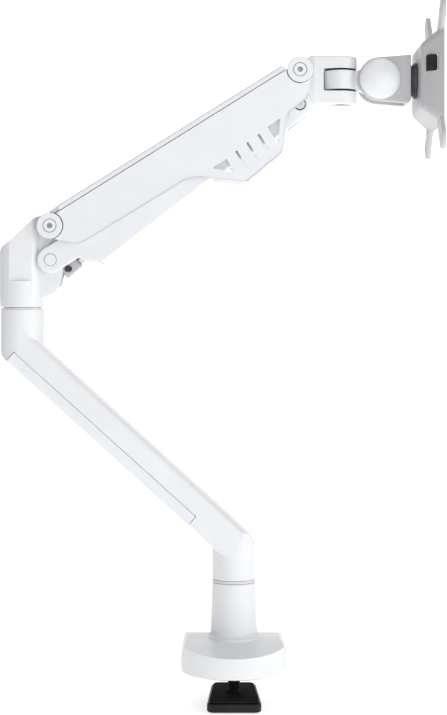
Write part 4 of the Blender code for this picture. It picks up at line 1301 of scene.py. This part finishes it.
@dataclass
class ScreenPlate(SubAssembly):
    """The dished plate with four prongs that a screen is screwed to, and its latch."""

    back: float = 147.0
    front: float = 164.0
    wall: float = 2.6
    half_height: float = 38.5
    half_width: float = 50.0
    floor_half_height: float = 25.5
    floor_half_width: float = 35.0
    prong_at: float = 40.0
    prong_radius: float = 8.95
    screw_patterns: tuple[float, float] = (37.5, 50.0)
    latch_x: float = 155.0
    latch_z: float = 9.2

    def build(self) -> None:
        """Build and dress the plate, its latch button and the button's spring."""
        self.fit(self.plate(), "screen_plate_piece", CAST_GREY, edge=0.5)
        self.fit(self.button(), "latch_button_piece", BLACK_MOULDED, edge=0.15, body="latch")
        self.polish("latch_spring", ZINC, 0)

    def plate(self) -> Solid:
        """Return the plate: a tapered dish, its prongs with their screw holes, and the latch's way."""
        back, front, wall = self.back, self.front - 0.4, self.wall
        wide, high = self.half_width, self.half_height
        rim = rounded([(-wide, -high, 8), (wide, -high, 8), (wide, high, 8), (-wide, high, 8)], 12)
        outside = [self.section(back + 2 - x, back, 2 - y) for x, y in arc((0, 0), 2.0, 0, 90, 5)]
        plate = Solid.loft(rim, outside + [self.section(front, back, 0)], Axis.X)
        inset, floor = wall + 0.6, back + wall
        inside = [self.section(floor + 2 - x, floor, inset + 2 - y) for x, y in arc((0, 0), 2.0, 0, 90, 4)]
        hollow = Solid.loft(rim, inside + [self.section(front + 2, floor, inset)], Axis.X)
        prongs, holes = [], []
        for sy in (-1, 1):
            for sz in (-1, 1):
                angle = pi / 4 * (-1 if sy * sz > 0 else 1)
                at, c, s = self.prong_at, cos(angle), sin(angle)
                prong = [
                    (sy * at + p * c - q * s, sz * at + p * s + q * c)
                    for p, q in capsule(10 * 2**0.5, self.prong_radius, 32)
                ]
                prongs.append(Solid.slab(prong, self.front - 3.4, self.front, Axis.X, rim=0.7))
                for hole in self.screw_patterns:
                    holes.append(Solid.rod(2.4, 150, 170, (sy * hole, sz * hole), Axis.X, sides=48))
        plate.cut(hollow)
        plate.join(*prongs)
        x, z = self.latch_x, self.latch_z
        plate.cut(
            *holes,
            Solid.rod(PIVOT_BORE, 140, 155, axis=Axis.X),
            Solid.block((x - 4.5, -60, z - 6.5), (x + 4.5, -30, z + 6.5), 0.6),
        )
        plate.join(Solid.block((self.back + 1, -22, z - 6), (x + 4, -19, z + 6)))
        return plate

    def section(self, x: float, start: float, inset: float) -> tuple[float, float, float]:
        """Place one section of the dish.

        Args:
            x: Its place along X.
            start: Where the dish's floor lies.
            inset: How far it stays inside the plain taper.

        Returns:
            Its place and its scale in Y and Z.
        """
        rise = (x - start) / (self.front - 0.4 - self.back)
        scales = (
            (floor + (rim - floor) * rise - inset) / rim
            for floor, rim in (
                (self.floor_half_width, self.half_width), (self.floor_half_height, self.half_height)
            )
        )
        return (x, *scales)

    def button(self) -> Solid:
        """Return the ribbed push button with the pocket for its spring."""
        x, z = self.latch_x, self.latch_z
        button = Solid.block((x - 4.1, -43.4, z - 6.1), (x + 4.1, -31, z + 6.1), 1.1, 4)
        button.cut(Solid.rod(3.4, -40, -25, (x, z), Axis.Y, sides=48))
        heights = (z + lift for lift in (-3, -1.5, 0, 1.5, 3))
        return button.cut(*(Solid.block((x - 3.0, -44, h - 0.3), (x + 3.0, -43.0, h + 0.3)) for h in heights))


# Studio ------------------------------------------------------------------------------------


@dataclass
class Studio:
    """The pale sweep, the soft lights and the camera."""

    camera_at: Point = (-0.0084, -1.411, 0.290)
    lens: float = 88.1
    rise: float = -0.0701
    floor_z: float = -0.0295
    sweep_white: float = 0.92
    sweep_glow: float = 0.7
    half_sweep: float = 2.0
    world: float = 0.34
    aim: Point = (0, 0, 0.25)
    lights: tuple[tuple[str, Point, float, float], ...] = (
        ("key", (1.9, -1.2, 0.6), 1.3, 13.2),
        ("top", (0.2, -0.7, 1.9), 1.2, 5.0),
        ("front", (0.8, -2.5, 0.3), 1.5, 12.6),
    )

    def build(self) -> None:
        """Set up the sweep, the lights, the world and the camera."""
        self.sweep()
        for light in self.lights:
            self.light(*light)
        world = bpy.data.worlds.new("studio_air")
        world.use_nodes = True
        world.node_tree.nodes["Background"].inputs["Color"].default_value = (1, 1, 1, 1)
        world.node_tree.nodes["Background"].inputs["Strength"].default_value = self.world
        bpy.context.scene.world = world
        bpy.context.scene.view_settings.view_transform = "Standard"
        self.camera()

    def camera(self) -> None:
        """Place the level camera that looks along +Y."""
        lens = bpy.data.cameras.new("camera")
        lens.lens = self.lens
        lens.sensor_width = 36.0
        lens.shift_y = self.rise
        camera = bpy.data.objects.new("camera", lens)
        camera.location = self.camera_at
        camera.rotation_euler = (pi / 2, 0, 0)
        bpy.context.scene.collection.objects.link(camera)
        bpy.context.scene.camera = camera

    def light(self, name: str, at: Point, size: float, power: float) -> None:
        """Hang a soft square light aimed at the arm.

        Args:
            name: The light's name.
            at: Its place, in metres.
            size: The length of its side.
            power: Its power, in watts.
        """
        lamp = bpy.data.lights.new(name, "AREA")
        lamp.size = size
        lamp.energy = power
        obj = bpy.data.objects.new(name, lamp)
        obj.location = at
        obj.rotation_euler = (Vector(self.aim) - Vector(at)).to_track_quat("-Z", "Y").to_euler()
        bpy.context.scene.collection.objects.link(obj)

    def sweep(self) -> None:
        """Lay the pale floor, which curves up behind the arm."""
        mesh = bmesh.new()
        line = [(-4.0, self.floor_z), *arc((2.0, self.floor_z + 1.0), 1.0, -90, 0, 24), (3.0, 5.0)]
        start = [mesh.verts.new((-self.half_sweep, y, z)) for y, z in line]
        edges = [mesh.edges.new(pair) for pair in zip(start, start[1:])]
        grown = bmesh.ops.extrude_edge_only(mesh, edges=edges)["geom"]
        verts = [v for v in grown if isinstance(v, bmesh.types.BMVert)]
        bmesh.ops.translate(mesh, verts=verts, vec=(2 * self.half_sweep, 0, 0))
        bmesh.ops.recalc_face_normals(mesh, faces=mesh.faces)
        data = bpy.data.meshes.new("floor")
        mesh.to_mesh(data)
        mesh.free()
        data.shade_smooth()
        floor = bpy.data.objects.new("floor", data)
        bpy.context.scene.collection.objects.link(floor)
        pale = bpy.data.materials.new("pale_paper")
        pale.use_nodes = True
        shader = pale.node_tree.nodes["Principled BSDF"]
        shader.inputs["Base Color"].default_value = (self.sweep_white,) * 3 + (1,)
        shader.inputs["Roughness"].default_value = 0.9
        shader.inputs["Specular IOR Level"].default_value = 0.0
        shader.inputs["Emission Color"].default_value = (1, 1, 1, 1)
        shader.inputs["Emission Strength"].default_value = self.sweep_glow
        data.materials.append(pale)


# Assembly ----------------------------------------------------------------------------------


def strut_frame() -> tuple[Matrix, float]:
    """Return the strut's frame, which runs from its front eye to its rear one, and its length at rest."""
    c, s = cos(ARM_ANGLE), sin(ARM_ANGLE)
    u, v = STRUT_FRONT
    x, z = REAR_X + u * c - v * s, REAR_Z + u * s + v * c
    run = (STRUT_REAR[0] - x, STRUT_REAR[1] - z)
    return place(x, z, atan2(run[1], run[0])), hypot(*run)


def main() -> None:
    """Build the studio and every sub-assembly, in order from the desk to the screen."""
    logging.basicConfig(level=logging.INFO, format="%(name)s: %(message)s")
    Studio().build()
    strut, strut_length = strut_frame()
    arm = place(REAR_X, REAR_Z, ARM_ANGLE)
    for sub_assembly in (
        BaseStand(place(), "base"),
        DeskClamp(place(), "clamp"),
        LowerArm(place(), "lower_arm"),
        Elbow(place(ELBOW_X), "elbow"),
        UpperArm(arm, "upper_arm"),
        LowerLink(place(REAR_X, REAR_Z - PIVOT_DROP, ARM_ANGLE), "lower_link"),
        GasStrut(strut, "strut", strut_length),
        Knuckle(place(FRONT_X, FRONT_Z), "knuckle"),
        PanYoke(place(PAN_X, HEAD_Z), "yoke"),
        TiltHead(place(TILT_X, HEAD_Z), "tilt_head"),
        ScreenPlate(place(0, HEAD_Z), "head"),
    ):
        LOG.info("building %s", type(sub_assembly).__name__)
        sub_assembly.build()


if __name__ == "__main__":
    main()
